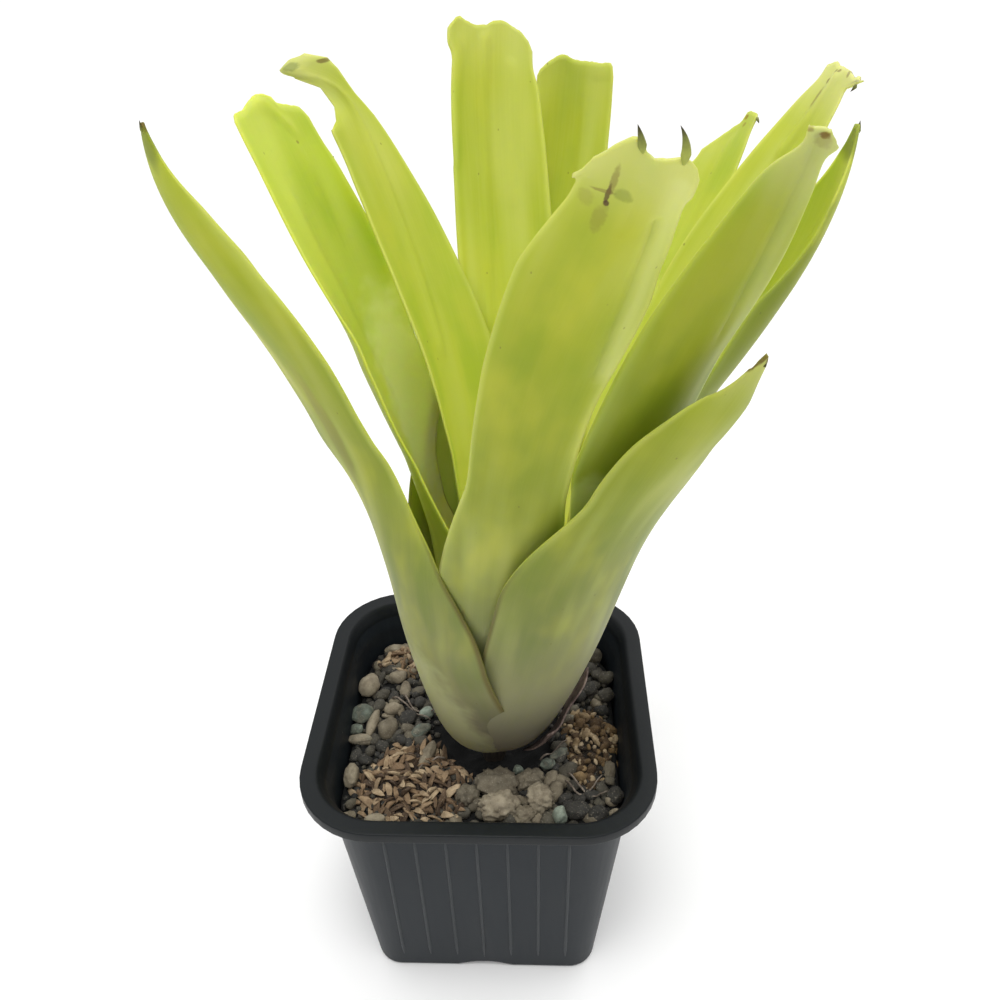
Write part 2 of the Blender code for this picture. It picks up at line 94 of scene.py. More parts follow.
# %% Wire and Bench
class Wire:
    """One socket of a node tree, to be used in an expression."""

    def __init__(self, bench, socket):
        self.bench, self.socket = bench, socket

    def __add__(self, other):
        return self.bench.maths("ADD", self, other)

    def __sub__(self, other):
        return self.bench.maths("SUBTRACT", self, other)

    def __rsub__(self, other):
        return self.bench.maths("SUBTRACT", other, self)

    def __mul__(self, other):
        return self.bench.maths("MULTIPLY", self, other)

    def __truediv__(self, other):
        return self.bench.maths("DIVIDE", self, other)

    def __rtruediv__(self, other):
        return self.bench.maths("DIVIDE", other, self)

    def __pow__(self, other):
        return self.bench.maths("POWER", self, other)

    __radd__, __rmul__ = __add__, __mul__

    def beside(self, name):
        """Another output of the same node."""
        return Wire(self.bench, self.bench.pick(self.socket.node.outputs, name))


class Bench:
    """A node tree with one way to add a node and one way to write maths."""

    def __init__(self, tree):
        self.tree = tree

    def pick(self, sockets, name):
        return sockets[name] if isinstance(name, int) else next(
            s for s in sockets if s.name == name and not s.is_unavailable)

    def feed(self, socket, value):
        for part in value if isinstance(value, list) else [value]:
            if isinstance(part, Wire):
                self.tree.links.new(part.socket, socket)
            elif socket.type == "RGBA":
                socket.default_value = (*part, 1.0)
            else:
                socket.default_value = part

    def add(self, kind, settings=None, sockets=None, out=0):
        node = self.tree.nodes.new(kind)
        for name, value in (settings or {}).items():
            if name == "stops":
                ramp = node.color_ramp
                while len(ramp.elements) < len(value):
                    ramp.elements.new(0.5)
                for element, (place, colour) in zip(ramp.elements, value):
                    element.position, element.color = place, (*colour, 1.0)
            else:
                setattr(node, name, value)
        for name, value in (sockets or {}).items():
            self.feed(self.pick(node.inputs, name), value)
        return Wire(self, self.pick(node.outputs, out)) if node.outputs else node

    def maths(self, operation, *terms):
        is_vector = [isinstance(t, tuple) or isinstance(t, Wire) and t.socket.type == "VECTOR"
                     for t in terms]
        if not any(is_vector):
            return self.add("ShaderNodeMath", {"operation": operation}, dict(enumerate(terms)))
        if operation == "MULTIPLY" and not all(is_vector):
            vector, scale = terms if is_vector[0] else terms[::-1]
            return self.add("ShaderNodeVectorMath", {"operation": "SCALE"}, {0: vector, "Scale": scale})
        return self.add("ShaderNodeVectorMath", {"operation": operation}, dict(enumerate(terms)))

    def step(self, value, low, high, soft=True):
        """0 below low, 1 above high, and a smooth way between."""
        kind = "SMOOTHSTEP" if soft else "LINEAR"
        if low > high:
            return 1 - self.step(value, high, low, soft)
        return self.add("ShaderNodeMapRange", {"interpolation_type": kind},
                        {"Value": value, "From Min": low, "From Max": high})

    def vector(self, x, y, z):
        return self.add("ShaderNodeCombineXYZ", None, {0: x, 1: y, 2: z})

    def noise(self, vector, scale=1.0, detail=2.0, rough=0.5):
        return self.add("ShaderNodeTexNoise", None,
                        {"Vector": vector, "Scale": scale, "Detail": detail, "Roughness": rough})

    def blend(self, factor, first, second, kind="MIX"):
        """Two colours mixed by a factor."""
        return self.add("ShaderNodeMix", {"data_type": "RGBA", "blend_type": kind},
                        {0: factor, 6: first, 7: second}, out=2)

    def place(self):
        """Where a point is on its own piece."""
        return self.add("ShaderNodeTexCoord").beside("Object")

    def stored(self, name):
        """A number that was stored on the shape."""
        return self.add("ShaderNodeAttribute", {"attribute_name": name}).beside("Fac")

    def axes(self, vector):
        return (self.add("ShaderNodeSeparateXYZ", None, {0: vector}, out=i) for i in range(3))

    def ramp(self, stops, value):
        return self.add("ShaderNodeValToRGB", {"stops": stops}, {"Fac": value})

    def bump(self, strength, distance, height):
        return self.add("ShaderNodeBump", None,
                        {"Strength": strength, "Distance": distance, "Height": height})


print("the expression helpers are ready")

# %% [markdown]
# ## Trees that make shapes
# A Geometry Nodes tree gets named inputs, so that its sizes can be read and changed in one
# place. A modifier runs the tree, `settle` keeps the result as a plain mesh, and then the
# modifier goes. Plain meshes are what other programs can read.

# %% Tree helpers
def shape_tree(name, inputs):
    """A new tree with a shape going in and out, and one Wire for each named input."""
    tree = bpy.data.node_groups.new(name, "GeometryNodeTree")
    tree.interface.new_socket("Geometry", in_out="OUTPUT", socket_type="NodeSocketGeometry")
    tree.interface.new_socket("Geometry", in_out="INPUT", socket_type="NodeSocketGeometry")
    for label, kind, value in inputs:
        socket = tree.interface.new_socket(label, in_out="INPUT", socket_type="NodeSocket" + kind)
        if value is not None:
            socket.default_value = value
    bench = Bench(tree)
    entry = bench.add("NodeGroupInput")
    return bench, {s.name: Wire(bench, s) for s in entry.socket.node.outputs if s.name}


def end_tree(bench, shape, material):
    """Realize Instances, then Set Material, then out."""
    real = bench.add("GeometryNodeRealizeInstances", None, {"Geometry": shape})
    done = bench.add("GeometryNodeSetMaterial", None, {"Geometry": real, "Material": material})
    bench.add("NodeGroupOutput", None, {"Geometry": done})
    return bench.tree


def run_tree(thing, tree, values):
    modifier = thing.modifiers.new(tree.name, "NODES")
    modifier.node_group = tree
    sockets = {s.name: s.identifier for s in tree.interface.items_tree if s.in_out == "INPUT"}
    for label, value in values.items():
        modifier[sockets[label]] = value


def settle(thing):
    """Keeps what a piece's modifiers make as its plain mesh, and takes them off."""
    graph = bpy.context.evaluated_depsgraph_get()
    mesh = bpy.data.meshes.new_from_object(thing.evaluated_get(graph), preserve_all_data_layers=True,
                                           depsgraph=graph)
    thing.modifiers.clear()
    thing.data = mesh
    return thing


def place_piece(name, mesh, materials=()):
    for material in materials:
        mesh.materials.append(material)
    thing = bpy.data.objects.new(name, mesh)
    bpy.context.collection.objects.link(thing)
    return thing


def tell(thing):
    thing.data.calc_loop_triangles()
    spots = [v.co for v in thing.data.vertices]
    size = [round((max(p[i] for p in spots) - min(p[i] for p in spots)) / MM, 1) for i in range(3)]
    print(f"{thing.name}: {len(thing.data.loop_triangles)} triangles, {size} mm")


def new_finish(name):
    material = bpy.data.materials.new(name)
    material.use_nodes = True
    material.node_tree.nodes.clear()
    return material, Bench(material.node_tree)


def end_finish(bench, sockets):
    shader = bench.add("ShaderNodeBsdfPrincipled", None, sockets)
    bench.add("ShaderNodeOutputMaterial", None, {"Surface": shader})


print("the tree helpers are ready")

# %% [markdown]
# ## The stage
# The pot stands on a plain white table in soft light that comes from nearly everywhere. A
# white world, dimmer towards the horizon, gives that even light. One lamp high in front adds
# a direction, so that the leaves keep a bright and a shaded side, and a weaker one shines
# from behind on the right.

# %% Floor, world and lamps
HORIZON_LIGHT, OVERHEAD_LIGHT = 0.2, 1.32
LIT_PLACE = Vector((0, 0, 0.12))


def make_floor():
    bm = bmesh.new()
    bmesh.ops.create_grid(bm, x_segments=12, y_segments=12, size=6.0)
    mesh = bpy.data.meshes.new("floor")
    bm.to_mesh(mesh)
    bm.free()
    white, bench = new_finish("floor_white")
    place = bench.place()
    cloud = bench.noise(place, 3.0)
    end_finish(bench, {"Base Color": bench.blend(cloud, (0.955, 0.955, 0.95), (0.985, 0.985, 0.98)),
                       "Roughness": 0.9, "Specular IOR Level": 0.0})
    return place_piece("floor", mesh, [white])


def make_lamp(name, place, width, watts, spread):
    lamp = bpy.data.lights.new(name, "AREA")
    lamp.shape, lamp.size, lamp.energy, lamp.spread = "DISK", width, watts, math.radians(spread)
    thing = bpy.data.objects.new(name, lamp)
    thing.location = place
    thing.rotation_euler = (LIT_PLACE - Vector(place)).to_track_quat("-Z", "Y").to_euler()
    bpy.context.collection.objects.link(thing)


make_floor()


def make_world():
    """White all round, brightest overhead and dimmer towards the horizon."""
    world = bpy.data.worlds.new("soft_white")
    world.use_nodes = True
    world.node_tree.nodes.clear()
    bench = Bench(world.node_tree)
    way = bench.add("ShaderNodeTexCoord").beside("Generated")
    up = bench.add("ShaderNodeSeparateXYZ", None, {0: way}, out=2)
    strength = HORIZON_LIGHT + bench.step(up, 0.0, 1.0) * OVERHEAD_LIGHT
    glow = bench.add("ShaderNodeBackground", None, {"Color": (1, 1, 1), "Strength": strength})
    bench.add("ShaderNodeOutputWorld", None, {"Surface": glow})
    bpy.context.scene.world = world


make_world()
bpy.context.scene.view_settings.view_transform = "Standard"
make_lamp("lamp_above", (-0.05, -0.22, 0.95), 0.3, 0.16, 45)
make_lamp("lamp_behind", (0.35, 0.55, 0.6), 0.4, 0.06, 60)
print("stage set")

# %% [markdown]
# ## The pot
# A nursery pot is moulded from about a millimetre of black plastic. Its section is a square
# with round corners that widens upwards, turns out into a flat flange and down in a short
# lip. A loft through one list of sections makes the whole skin, inside and out. Each bend of
# the section is given a small fillet first, because a moulded edge catches a thin highlight.

# %% Pot sections
BODY_TOP, WALL = 62.5, 1.2
BASE_WIDTH, BODY_WIDTH = 56.0, 70.0
ARCH_WIDTH, ARCH_HEIGHT, ARCH_FADE = 12.0, 1.6, 5.0
UNDERSIDE_WIDTH, OUTER_RINGS = 51.5, 22  # the arch lifts no ring narrower or later than these
RIM_FOOT = 64.9  # from here up the plastic is the rim's
RIB_LOW, RIB_HIGH, RIB_SUNK = 4.5, 61.0, 0.22
# width across, corner radius, height and fillet of each bend, all in mm
POT_SECTIONS = [
    (50.0, 4.0, 1.2, 0.1), (52.0, 4.8, 0.0, 0.3), (54.8, 5.9, 0.0, 0.5), (56.0, 6.5, 0.6, 0.6),
    (70.0, 15.0, 62.5, 1.0), (71.6, 15.6, 64.7, 0.8), (74.4, 16.6, 66.3, 0.6), (77.4, 16.8, 66.7, 0.3),
    (77.8, 17.0, 65.4, 0.1),
    (80.0, 18.0, 65.4, 0.25), (80.0, 18.0, 68.0, 0.4), (73.0, 15.0, 68.0, 0.5), (71.6, 14.4, 67.3, 0.4),
    (69.6, 13.9, 65.6, 0.8), (67.6, 13.8, 61.9, 1.0), (54.2, 5.6, 1.5, 1.0), (40.0, 4.0, 1.5, 0.1),
]


def filleted(sections, steps=4):
    """Rounds each bend of the section by cutting it back and curving across."""
    done = [np.array(sections[0][:3])]
    for before, here, after in zip(sections, sections[1:], sections[2:]):
        a, b, c = (np.array(s[:3]) for s in (before, here, after))
        reach_a, reach_c = (np.hypot((p - b)[0] / 2, (p - b)[2]) for p in (a, c))
        start = b + (a - b) * min(0.45, here[3] / reach_a)
        stop = b + (c - b) * min(0.45, here[3] / reach_c)
        for i in range(steps + 1):
            t = i / steps
            done.append((1 - t) ** 2 * start + 2 * t * (1 - t) * b + t * t * stop)
    return [row.tolist() for row in done] + [list(sections[-1][:3])]


def rounded_square(width, corner, corner_steps=10, side_steps=24):
    """Points round a square with round corners, anticlockwise from above, in mm."""
    points = []
    for quarter in range(4):
        turn = Matrix.Rotation(quarter * math.pi / 2, 2)
        middle = Vector((width / 2 - corner, width / 2 - corner))
        arc = [turn @ (middle + corner * Vector((math.cos(a), math.sin(a))))
               for a in (s * math.pi / 2 / corner_steps for s in range(corner_steps + 1))]
        after = turn @ (Matrix.Rotation(math.pi / 2, 2) @ (middle + Vector((corner, 0))))
        points += arc + [arc[-1].lerp(after, s / side_steps) for s in range(1, side_steps)]
    return points


print(len(filleted(POT_SECTIONS)), "sections")

# %% [markdown]
# ## Skinning the sections
# Faces join each ring of points to the next, and both ends are closed. The pot's outer rings
# are lifted near the ground in the middle of each side, which gives the four shallow arches.

# %% Pot skin
def smooth_mesh(bm, name):
    """Keeps a bmesh as a mesh that is smooth but for faces of more than four corners."""
    for face in bm.faces:
        face.smooth = len(face.verts) < 5
    mesh = bpy.data.meshes.new(name)
    bm.to_mesh(mesh)
    bm.free()
    return mesh


def loft(rings, name):
    """Skins rings of points that have the same count, and closes both ends."""
    bm = bmesh.new()
    made = [[bm.verts.new(p) for p in ring] for ring in rings]
    for low, high in zip(made, made[1:]):
        for i in range(len(low)):
            j = (i + 1) % len(low)
            bm.faces.new((low[i], low[j], high[j], high[i]))
    bm.faces.new(made[0][::-1])
    bm.faces.new(made[-1])
    bmesh.ops.recalc_face_normals(bm, faces=bm.faces[:])
    return smooth_mesh(bm, name)


def arch(x, y):
    """How far the bottom edge is lifted: a shallow arch in the middle of each side."""
    offside = min(abs(x), abs(y))
    return ARCH_HEIGHT * max(0.0, 1 - (offside / (ARCH_WIDTH / 2)) ** 2) ** 0.7


def make_pot():
    rings = []
    for width, corner, z in filleted(POT_SECTIONS):
        foot = max(0.0, 1 - z / ARCH_FADE) if width > UNDERSIDE_WIDTH else 0.0
        outside = 1.0 if len(rings) < OUTER_RINGS else 0.0
        rings.append([Vector((p.x, p.y, z + outside * foot * arch(p.x, p.y))) * MM
                      for p in rounded_square(width, corner)])
    return place_piece("pot_shell", loft(rings, "pot_shell"))


pot = make_pot()
tell(pot)

# %% [markdown]
# ## The pot's ribs
# Seven fine ribs run down each face. They repeat, so a tree makes them: a thin line down the
# wall is given a round section that fades out at both ends, a row of points copies it across
# the face, and four points at the middle turn that row to the four faces.

# %% Rib tree
def rib_tree():
    bench, given = shape_tree("pot_ribs", [
        ("Ribs", "Int", 7), ("Spacing", "Float", 6.8 * MM), ("Width", "Float", 0.5 * MM),
        ("Low End", "Vector", None), ("High End", "Vector", None), ("Material", "Material", None)])
    line = bench.add("GeometryNodeCurvePrimitiveLine", None,
                     {"Start": given["Low End"], "End": given["High End"]})
    line = bench.add("GeometryNodeResampleCurve", None, {"Curve": line, "Count": 24})
    share = bench.add("GeometryNodeSplineParameter")
    fade = bench.step(share * (1 - share), 0.0, 0.08) * 0.85 + 0.15
    line = bench.add("GeometryNodeSetCurveRadius", None, {"Curve": line, "Radius": fade})
    section = bench.add("GeometryNodeCurvePrimitiveCircle", None,
                        {"Resolution": 8, "Radius": given["Width"]})
    rib = bench.add("GeometryNodeCurveToMesh", None,
                    {"Curve": line, "Profile Curve": section, "Scale": fade, "Fill Caps": True})
    first = bench.vector(given["Spacing"] * (given["Ribs"] - 1.0) * -0.5, 0.0, 0.0)
    row = bench.add("GeometryNodeMeshLine", None, {"Count": given["Ribs"], "Start Location": first,
                                                   "Offset": bench.vector(given["Spacing"], 0.0, 0.0)})
    row = bench.add("GeometryNodeInstanceOnPoints", None, {"Points": row, "Instance": rib})
    faces = bench.add("GeometryNodeMeshLine", None, {"Count": 4, "Offset": (0.0, 0.0, 0.0)})
    quarter = bench.add("GeometryNodeInputIndex") * (math.pi / 2)
    turn = bench.add("FunctionNodeEulerToRotation", None, {"Euler": bench.vector(0.0, 0.0, quarter)})
    ribs = bench.add("GeometryNodeInstanceOnPoints", None,
                     {"Points": faces, "Instance": row, "Rotation": turn})
    return end_tree(bench, ribs, given["Material"])


def wall_half(z):
    return (BASE_WIDTH + (BODY_WIDTH - BASE_WIDTH) * z / BODY_TOP) / 2


def inner_corner(z):
    """The corner radius of the pot's inner wall at a height."""
    return 6.5 + 8.5 * z / BODY_TOP - WALL


def make_ribs(material):
    ribs = place_piece("pot_ribs", bpy.data.meshes.new("pot_ribs"))
    run_tree(ribs, rib_tree(), {
        "Low End": (0.0, -(wall_half(RIB_LOW) - RIB_SUNK) * MM, RIB_LOW * MM),
        "High End": (0.0, -(wall_half(RIB_HIGH) - RIB_SUNK) * MM, RIB_HIGH * MM),
        "Width": 0.45 * MM, "Material": material})
    return settle(ribs)


print("the rib tree is ready")

# %% [markdown]
# ## Black moulded plastic
# Up close the plastic is charcoal, not black: fine upright streaks from the mould, a faint
# grain, and a few specks of dust. The streaks come from noise that is squeezed across the
# wall and stretched along Z. The specks are the middles of a few Voronoi cells. The rim gets
# a darker copy of the finish as painted shade, and the ribs a lighter copy as a painted
# highlight on their ridges.

# %% Plastic
def plastic_finish(name, dark, pale, shine):
    material, bench = new_finish(name)
    place = bench.place()
    x, y, z = bench.axes(place)
    streak = bench.noise(bench.vector(x * 420.0, y * 420.0, z * 14.0), 1.0, 3.0, 0.6)
    cloud = bench.noise(place, 45.0, 3.0)
    grain = bench.noise(place, 2600.0, 2.0)
    cells = bench.add("ShaderNodeTexVoronoi", None, {"Vector": place, "Scale": 150.0})
    chance = bench.add("ShaderNodeSeparateColor", None, {0: cells.beside("Color")})
    dust = bench.step(cells.beside("Distance"), 0.055, 0.03) * bench.step(chance, 0.93, 0.95)
    tone = bench.blend(streak * 0.7 + cloud * 0.3, dark, pale)
    colour = bench.blend(dust * 0.8, tone, (0.55, 0.55, 0.52))
    bump = bench.bump(0.25, 0.0002, streak * 0.6 + grain * 0.25)
    end_finish(bench, {"Base Color": colour, "Roughness": 0.36 + streak * 0.16 + dust * 0.3, "Normal": bump,
                       "Specular IOR Level": shine})
    return material


plastic = plastic_finish("black_plastic_wall", (0.0095, 0.0125, 0.0155), (0.021, 0.026, 0.031), 0.12)
# The rim is the same plastic; its darker copy is painted shade.
rim_plastic_painted_shade = plastic_finish("black_plastic_rim", (0.0045, 0.006, 0.007), (0.009, 0.0115, 0.013), 0.22)
for material in (plastic, rim_plastic_painted_shade):
    pot.data.materials.append(material)
for face in pot.data.polygons:
    face.material_index = int(face.center.z > RIM_FOOT * MM)
# The ribs' lighter copy of the plastic is a painted highlight along their ridges.
ribs = make_ribs(plastic_finish("black_plastic_rib", (0.026, 0.030, 0.033), (0.055, 0.060, 0.064), 0.12))
tell(ribs)

# %% [markdown]
# ## The mix
# Between the stones lies dark fine mix; its nearly black colour is also painted shade for the
# gaps between the stones and the hollow. It is a bed with lumps, a hollow round the plant's
# foot and low places under the clumps. Rings of points shrink from the pot's wall to the
# foot, and each point's height comes from noise, so the bed is one closed skin.

# %% Mix bed
MIX_TOP, MIX_EDGE, MIX_FLOOR, MIX_RINGS = 56.0, 54.4, 1.8, 46
BED_LEVEL, HOLLOW_DEPTH, HOLLOW_RADIUS = 55.6, 5.5, 15.5
FOOT = Vector((3.0, -1.5, MIX_TOP))
LEAN = math.radians(4.5)
BEDS = {"husk_clump_front": (-16.5, -17.0, 14.0, 12.0), "husk_clump_back": (-24.0, 25.5, 7.0, 6.5),
        "pebbles_left": (-22.5, 7.0, 8.5, 10.0), "pale_lumps_front": (9.0, -21.5, 10.5, 7.5),
        "bark_clump_right": (26.0, -4.0, 6.0, 13.0)}


def mix_height(x, y):
    lumps = noise.noise(Vector((x, y, 0)) / 5.0) + 0.5 * noise.noise(Vector((x, y, 10)) / 2.6)
    crumbs = noise.noise(Vector((x, y, 30)) / 1.1)
    hollow = max(0.0, 1 - math.hypot(x - FOOT.x, y - FOOT.y) / HOLLOW_RADIUS)
    return BED_LEVEL + 1.2 * lumps + 0.35 * crumbs - HOLLOW_DEPTH * min(1.0, 2.0 * hollow) ** 1.2


def make_mix():
    def wall_ring(z):
        inner = wall_half(z) * 2 - 2 * WALL - 0.6
        return [Vector((p.x, p.y, z)) for p in rounded_square(inner, inner_corner(z), 8, 18)]

    edge = wall_ring(MIX_EDGE)
    rings = [wall_ring(MIX_FLOOR), edge]
    for ring in range(1, MIX_RINGS):
        share = 1 - ring / MIX_RINGS
        rings.append([Vector((p.x * share + FOOT.x * (1 - share), p.y * share + FOOT.y * (1 - share), 0))
                      for p in edge])
        for p in rings[-1]:
            p.z = mix_height(p.x, p.y)
    mesh = loft([[p * MM for p in ring] for ring in rings], "mix_bed")
    return place_piece("mix_bed", mesh)


mix = make_mix()
tell(mix)

# %% [markdown]
# ## Grains, husks and bark by the hundred
# All the loose bits are one idea: a small closed shape laid on a surface many times, each
# turned and sized by chance. One tree does it. The shape starts as a coarse ball, is pressed
# to a length, width and thickness, and is curled like a husk where that is wanted. Points
# are spread so that none is too near its neighbour, and only where the surface's attribute
# `allowed` is 1. Each copy keeps a random `tone`, which its finish reads later, so that
# grains differ in colour.

# %% Scatter tree
def scatter_tree():
    bench, given = shape_tree("loose_bits", [
        ("Spacing", "Float", 2.0 * MM), ("Density", "Float", 9.0e5), ("Seed", "Int", 1),
        ("Length", "Float", 3.0 * MM), ("Width", "Float", 2.0 * MM), ("Thickness", "Float", 1.5 * MM),
        ("Curl", "Float", 0.0), ("Roughness", "Float", 0.2), ("Tilt", "Float", 0.5), ("Swirl", "Float", 0.0),
        ("Rise", "Float", 0.0), ("Tone Low", "Float", 0.0), ("Tone High", "Float", 1.0),
        ("Material", "Material", None)])
    where = bench.add("GeometryNodeInputPosition")
    allowed = bench.add("GeometryNodeInputNamedAttribute", {"data_type": "FLOAT"}, {"Name": "allowed"})
    spread = bench.add("GeometryNodeDistributePointsOnFaces", {"distribute_method": "POISSON"}, {
        "Mesh": given["Geometry"], "Distance Min": given["Spacing"],
        "Density Max": given["Density"], "Density Factor": allowed, "Seed": given["Seed"]})

    def chance(low, high, seed):
        own_seed = bench.maths("ADD", given["Seed"], float(seed))
        return bench.add("FunctionNodeRandomValue", {"data_type": "FLOAT"},
                         {"Min": low, "Max": high, "Seed": own_seed}, out="Value")

    # the shape: a ball, roughened, pressed flat and curled over its width and its length
    ball = bench.add("GeometryNodeMeshUVSphere", None, {"Segments": 9, "Rings": 6, "Radius": 1.0})
    rough = bench.noise(where + bench.vector(given["Seed"] * 3.7, 0.0, 0.0), 1.3, 1.0) - 0.5
    ball = bench.add("GeometryNodeSetPosition", None,
                     {"Geometry": ball, "Position": where * (1 + rough * given["Roughness"] * 2.4)})
    x, y, z = bench.axes(where)
    bent = bench.vector(x * given["Length"] * 0.5, y * given["Width"] * 0.5, z * given["Thickness"] * 0.5
                        + (y * y * 0.35 - x * x * 0.3) * given["Curl"] * given["Width"])
    ball = bench.add("GeometryNodeSetPosition", None, {"Geometry": ball, "Position": bent})
    ball = bench.add("GeometryNodeSetShadeSmooth", None, {"Geometry": ball, "Shade Smooth": True})

    # each copy: a heading that drifts over the bed like combed hair, a tilt and a size
    field_way = (bench.noise(where * 110.0, 1.0, 1.0) - 0.5) * 14.0
    heading = field_way * given["Swirl"] + chance(-3.14, 3.14, 1) * (1 - given["Swirl"] * 0.85)
    turn = bench.add("FunctionNodeEulerToRotation", None, {"Euler": bench.vector(
        chance(-1.0, 1.0, 2) * given["Tilt"], chance(-1.0, 1.0, 3) * given["Tilt"], heading)})
    size = bench.vector(chance(0.7, 1.35, 4), chance(0.75, 1.3, 5), chance(0.7, 1.3, 6))
    size = size * chance(0.75, 1.2, 7)
    bits = bench.add("GeometryNodeInstanceOnPoints", None,
                     {"Points": spread, "Instance": ball, "Rotation": turn, "Scale": size})
    tone = chance(given["Tone Low"], given["Tone High"], 8)
    lift = bench.add("GeometryNodeStoreNamedAttribute", {"data_type": "FLOAT", "domain": "INSTANCE"},
                     {"Geometry": bits, "Name": "tone", "Value": tone})
    lift = bench.add("GeometryNodeTransform", None,
                     {"Geometry": lift, "Translation": bench.vector(0.0, 0.0, given["Rise"])})
    return end_tree(bench, lift, given["Material"])


LOOSE_BITS = scatter_tree()
MOUND_FOOT, MOUND_SKIRT, MOUND_RINGS, MOUND_POINTS = 54.6, 1.5, 9, 40


def painted_shade_base(name, mesh, material):
    """The surface under a clump, in the darkest tone of its finish: painted shade in the gaps between its
    bits.
    """
    mesh.materials.clear()
    mesh.attributes.new("tone", "FLOAT", "POINT").data.foreach_set("value", [0.02] * len(mesh.vertices))
    return place_piece(name + "_base", mesh, [material])


def mound(name, bed, top, seed):
    """The surface a clump's bits lie on: an uneven dome over its bed."""
    cx, cy, rx, ry = bed
    rings = []
    for ring in range(MOUND_RINGS):
        share = 1 - ring / MOUND_RINGS
        loop = []
        for i in range(MOUND_POINTS):
            a = i * math.tau / MOUND_POINTS
            reach = share * (1 + 0.10 * math.sin(3 * a + seed) + 0.06 * math.sin(5 * a + 2 * seed))
            x, y = cx + rx * reach * math.cos(a), cy + ry * reach * math.sin(a)
            uneven = 0.7 * noise.noise(Vector((x, y, seed)) / 3.0) * (1 - share ** 4)
            loop.append(Vector((x, y, MOUND_FOOT + top * (1 - share ** 2.2) + uneven)) * MM)
        rings.append(loop)
    return loft([[p - Vector((0, 0, MOUND_SKIRT * MM)) for p in rings[0]]] + rings, name)


def scatter(name, surface, material, layers, keep=None):
    """Scatters each layer of bits on a copy of a surface and joins them with what is kept."""
    parts = []
    for values in layers:
        thing = place_piece(name, surface.copy())
        allowed = values.pop("Allowed", None)
        marks = [allowed(*(v.co / MM)) if allowed else 1.0 for v in thing.data.vertices]
        thing.data.attributes.new("allowed", "FLOAT", "POINT").data.foreach_set("value", marks)
        run_tree(thing, LOOSE_BITS, {**values, "Material": material})
        parts.append(settle(thing))
    if keep:
        parts.append(painted_shade_base(name, keep, material))
    return join(name, parts)


def join(name, parts):
    with bpy.context.temp_override(active_object=parts[0], selected_editable_objects=parts):
        bpy.ops.object.join()
    parts[0].name = name
    parts[0].data.name = name
    return parts[0]


print("the scatter tree is ready")

# %% [markdown]
# ## Stone, husk and bark finishes
# One function makes all four, since they differ only in their colours and in how rough they
# are. The copy's own `tone` picks a place on a ramp of colours, then noise at two scales
# adds mottling and a grainy bump.

# %% Loose-bit finishes
def bit_finish(name, stops, mottle, fine, bump, roughness, grit=0.45):
    material, bench = new_finish(name)
    place = bench.place()
    tone = bench.stored("tone")
    ramp = bench.ramp(stops, tone)
    broad = bench.noise(place, mottle, 3.0, 0.6)
    grain = bench.noise(place, fine, 3.0, 0.7)
    dark = bench.blend(bench.step(broad, 0.68, 0.30) * 0.55, ramp, (0.30, 0.25, 0.2), "MULTIPLY")
    colour = bench.blend(bench.step(grain, 0.55, 0.80) * grit, dark, (0.62, 0.54, 0.42), "SCREEN")
    relief = bench.bump(bump, 0.0006, broad * 0.5 + grain * 0.5)
    end_finish(bench, {"Base Color": colour, "Roughness": roughness + grain * 0.08, "Normal": relief})
    return material


STONE_STOPS = [(0.0, (0.016, 0.016, 0.014)), (0.2, (0.045, 0.043, 0.036)), (0.4, (0.095, 0.086, 0.062)),
               (0.6, (0.20, 0.17, 0.115)), (0.8, (0.36, 0.31, 0.22)), (0.92, (0.10, 0.12, 0.095)),
               (1.0, (0.27, 0.32, 0.255))]
stone = bit_finish("stone_mottled", STONE_STOPS, 420.0, 2400.0, 0.35, 0.78)
husk = bit_finish("husk_dry", [(0.0, (0.022, 0.013, 0.008)), (0.25, (0.09, 0.055, 0.030)),
                               (0.6, (0.27, 0.175, 0.095)), (1.0, (0.52, 0.40, 0.25))],
                  700.0, 3200.0, 0.5, 0.8)
bark = bit_finish("bark_crumb", [(0.0, (0.016, 0.011, 0.006)), (0.35, (0.095, 0.057, 0.026)),
                                 (0.7, (0.27, 0.175, 0.075)), (1.0, (0.52, 0.41, 0.26))],
                  650.0, 3000.0, 0.6, 0.9)
# The fine mix is dark; its nearly black colour is also painted shade in the gaps and the hollow.
mix_painted_shade = bit_finish("mix_dark", [(0.0, (0.005, 0.0055, 0.005)), (1.0, (0.007, 0.0065, 0.0055))],
                  500.0, 2600.0, 0.8, 0.93, 0.04)
mix.data.materials.append(mix_painted_shade)
print("finishes:", [m.name for m in (stone, husk, bark, mix_painted_shade)])

# %% [markdown]
# ## Grit and clumps on the mix
# Coarse grit and fines lie on the whole top of the mix but its edge, the hollow round the
# foot and, for the grit, two of the clumps. Husks and bark lie on low mounds of their own.
# Grit and husks keep clear of the pot's thin wall, or some would come out through it.

# %% Clumps and grit
GRIT_ROOM, FINES_ROOM, HUSK_ROOM = 2.1, 1.3, 3.4  # how near the pot's wall each may lie, in mm
GRIT_GAP, FINES_GAP = 16.5, 14.0  # and how near the middle of the foot
BED_SIDE = 53.0  # the bed's sides are below this


def near_foot(x, y):
    return math.hypot(x - FOOT.x, y - FOOT.y)


def in_bed(x, y, name):
    cx, cy, rx, ry = BEDS[name]
    return math.hypot((x - cx) / rx, (y - cy) / ry) < 1


def on_wall(z):
    """The bed's lowest rings and its edge ring: no bits there, so that none cling to its sides."""
    return z < BED_SIDE or abs(z - MIX_EDGE) < 0.01


def room(x, y):
    """How far a place on the mix is from the pot's rounded wall, in mm."""
    half, corner = wall_half(MIX_EDGE) - WALL, inner_corner(MIX_EDGE)
    return corner - math.hypot(max(abs(x) - half + corner, 0.0), max(abs(y) - half + corner, 0.0))


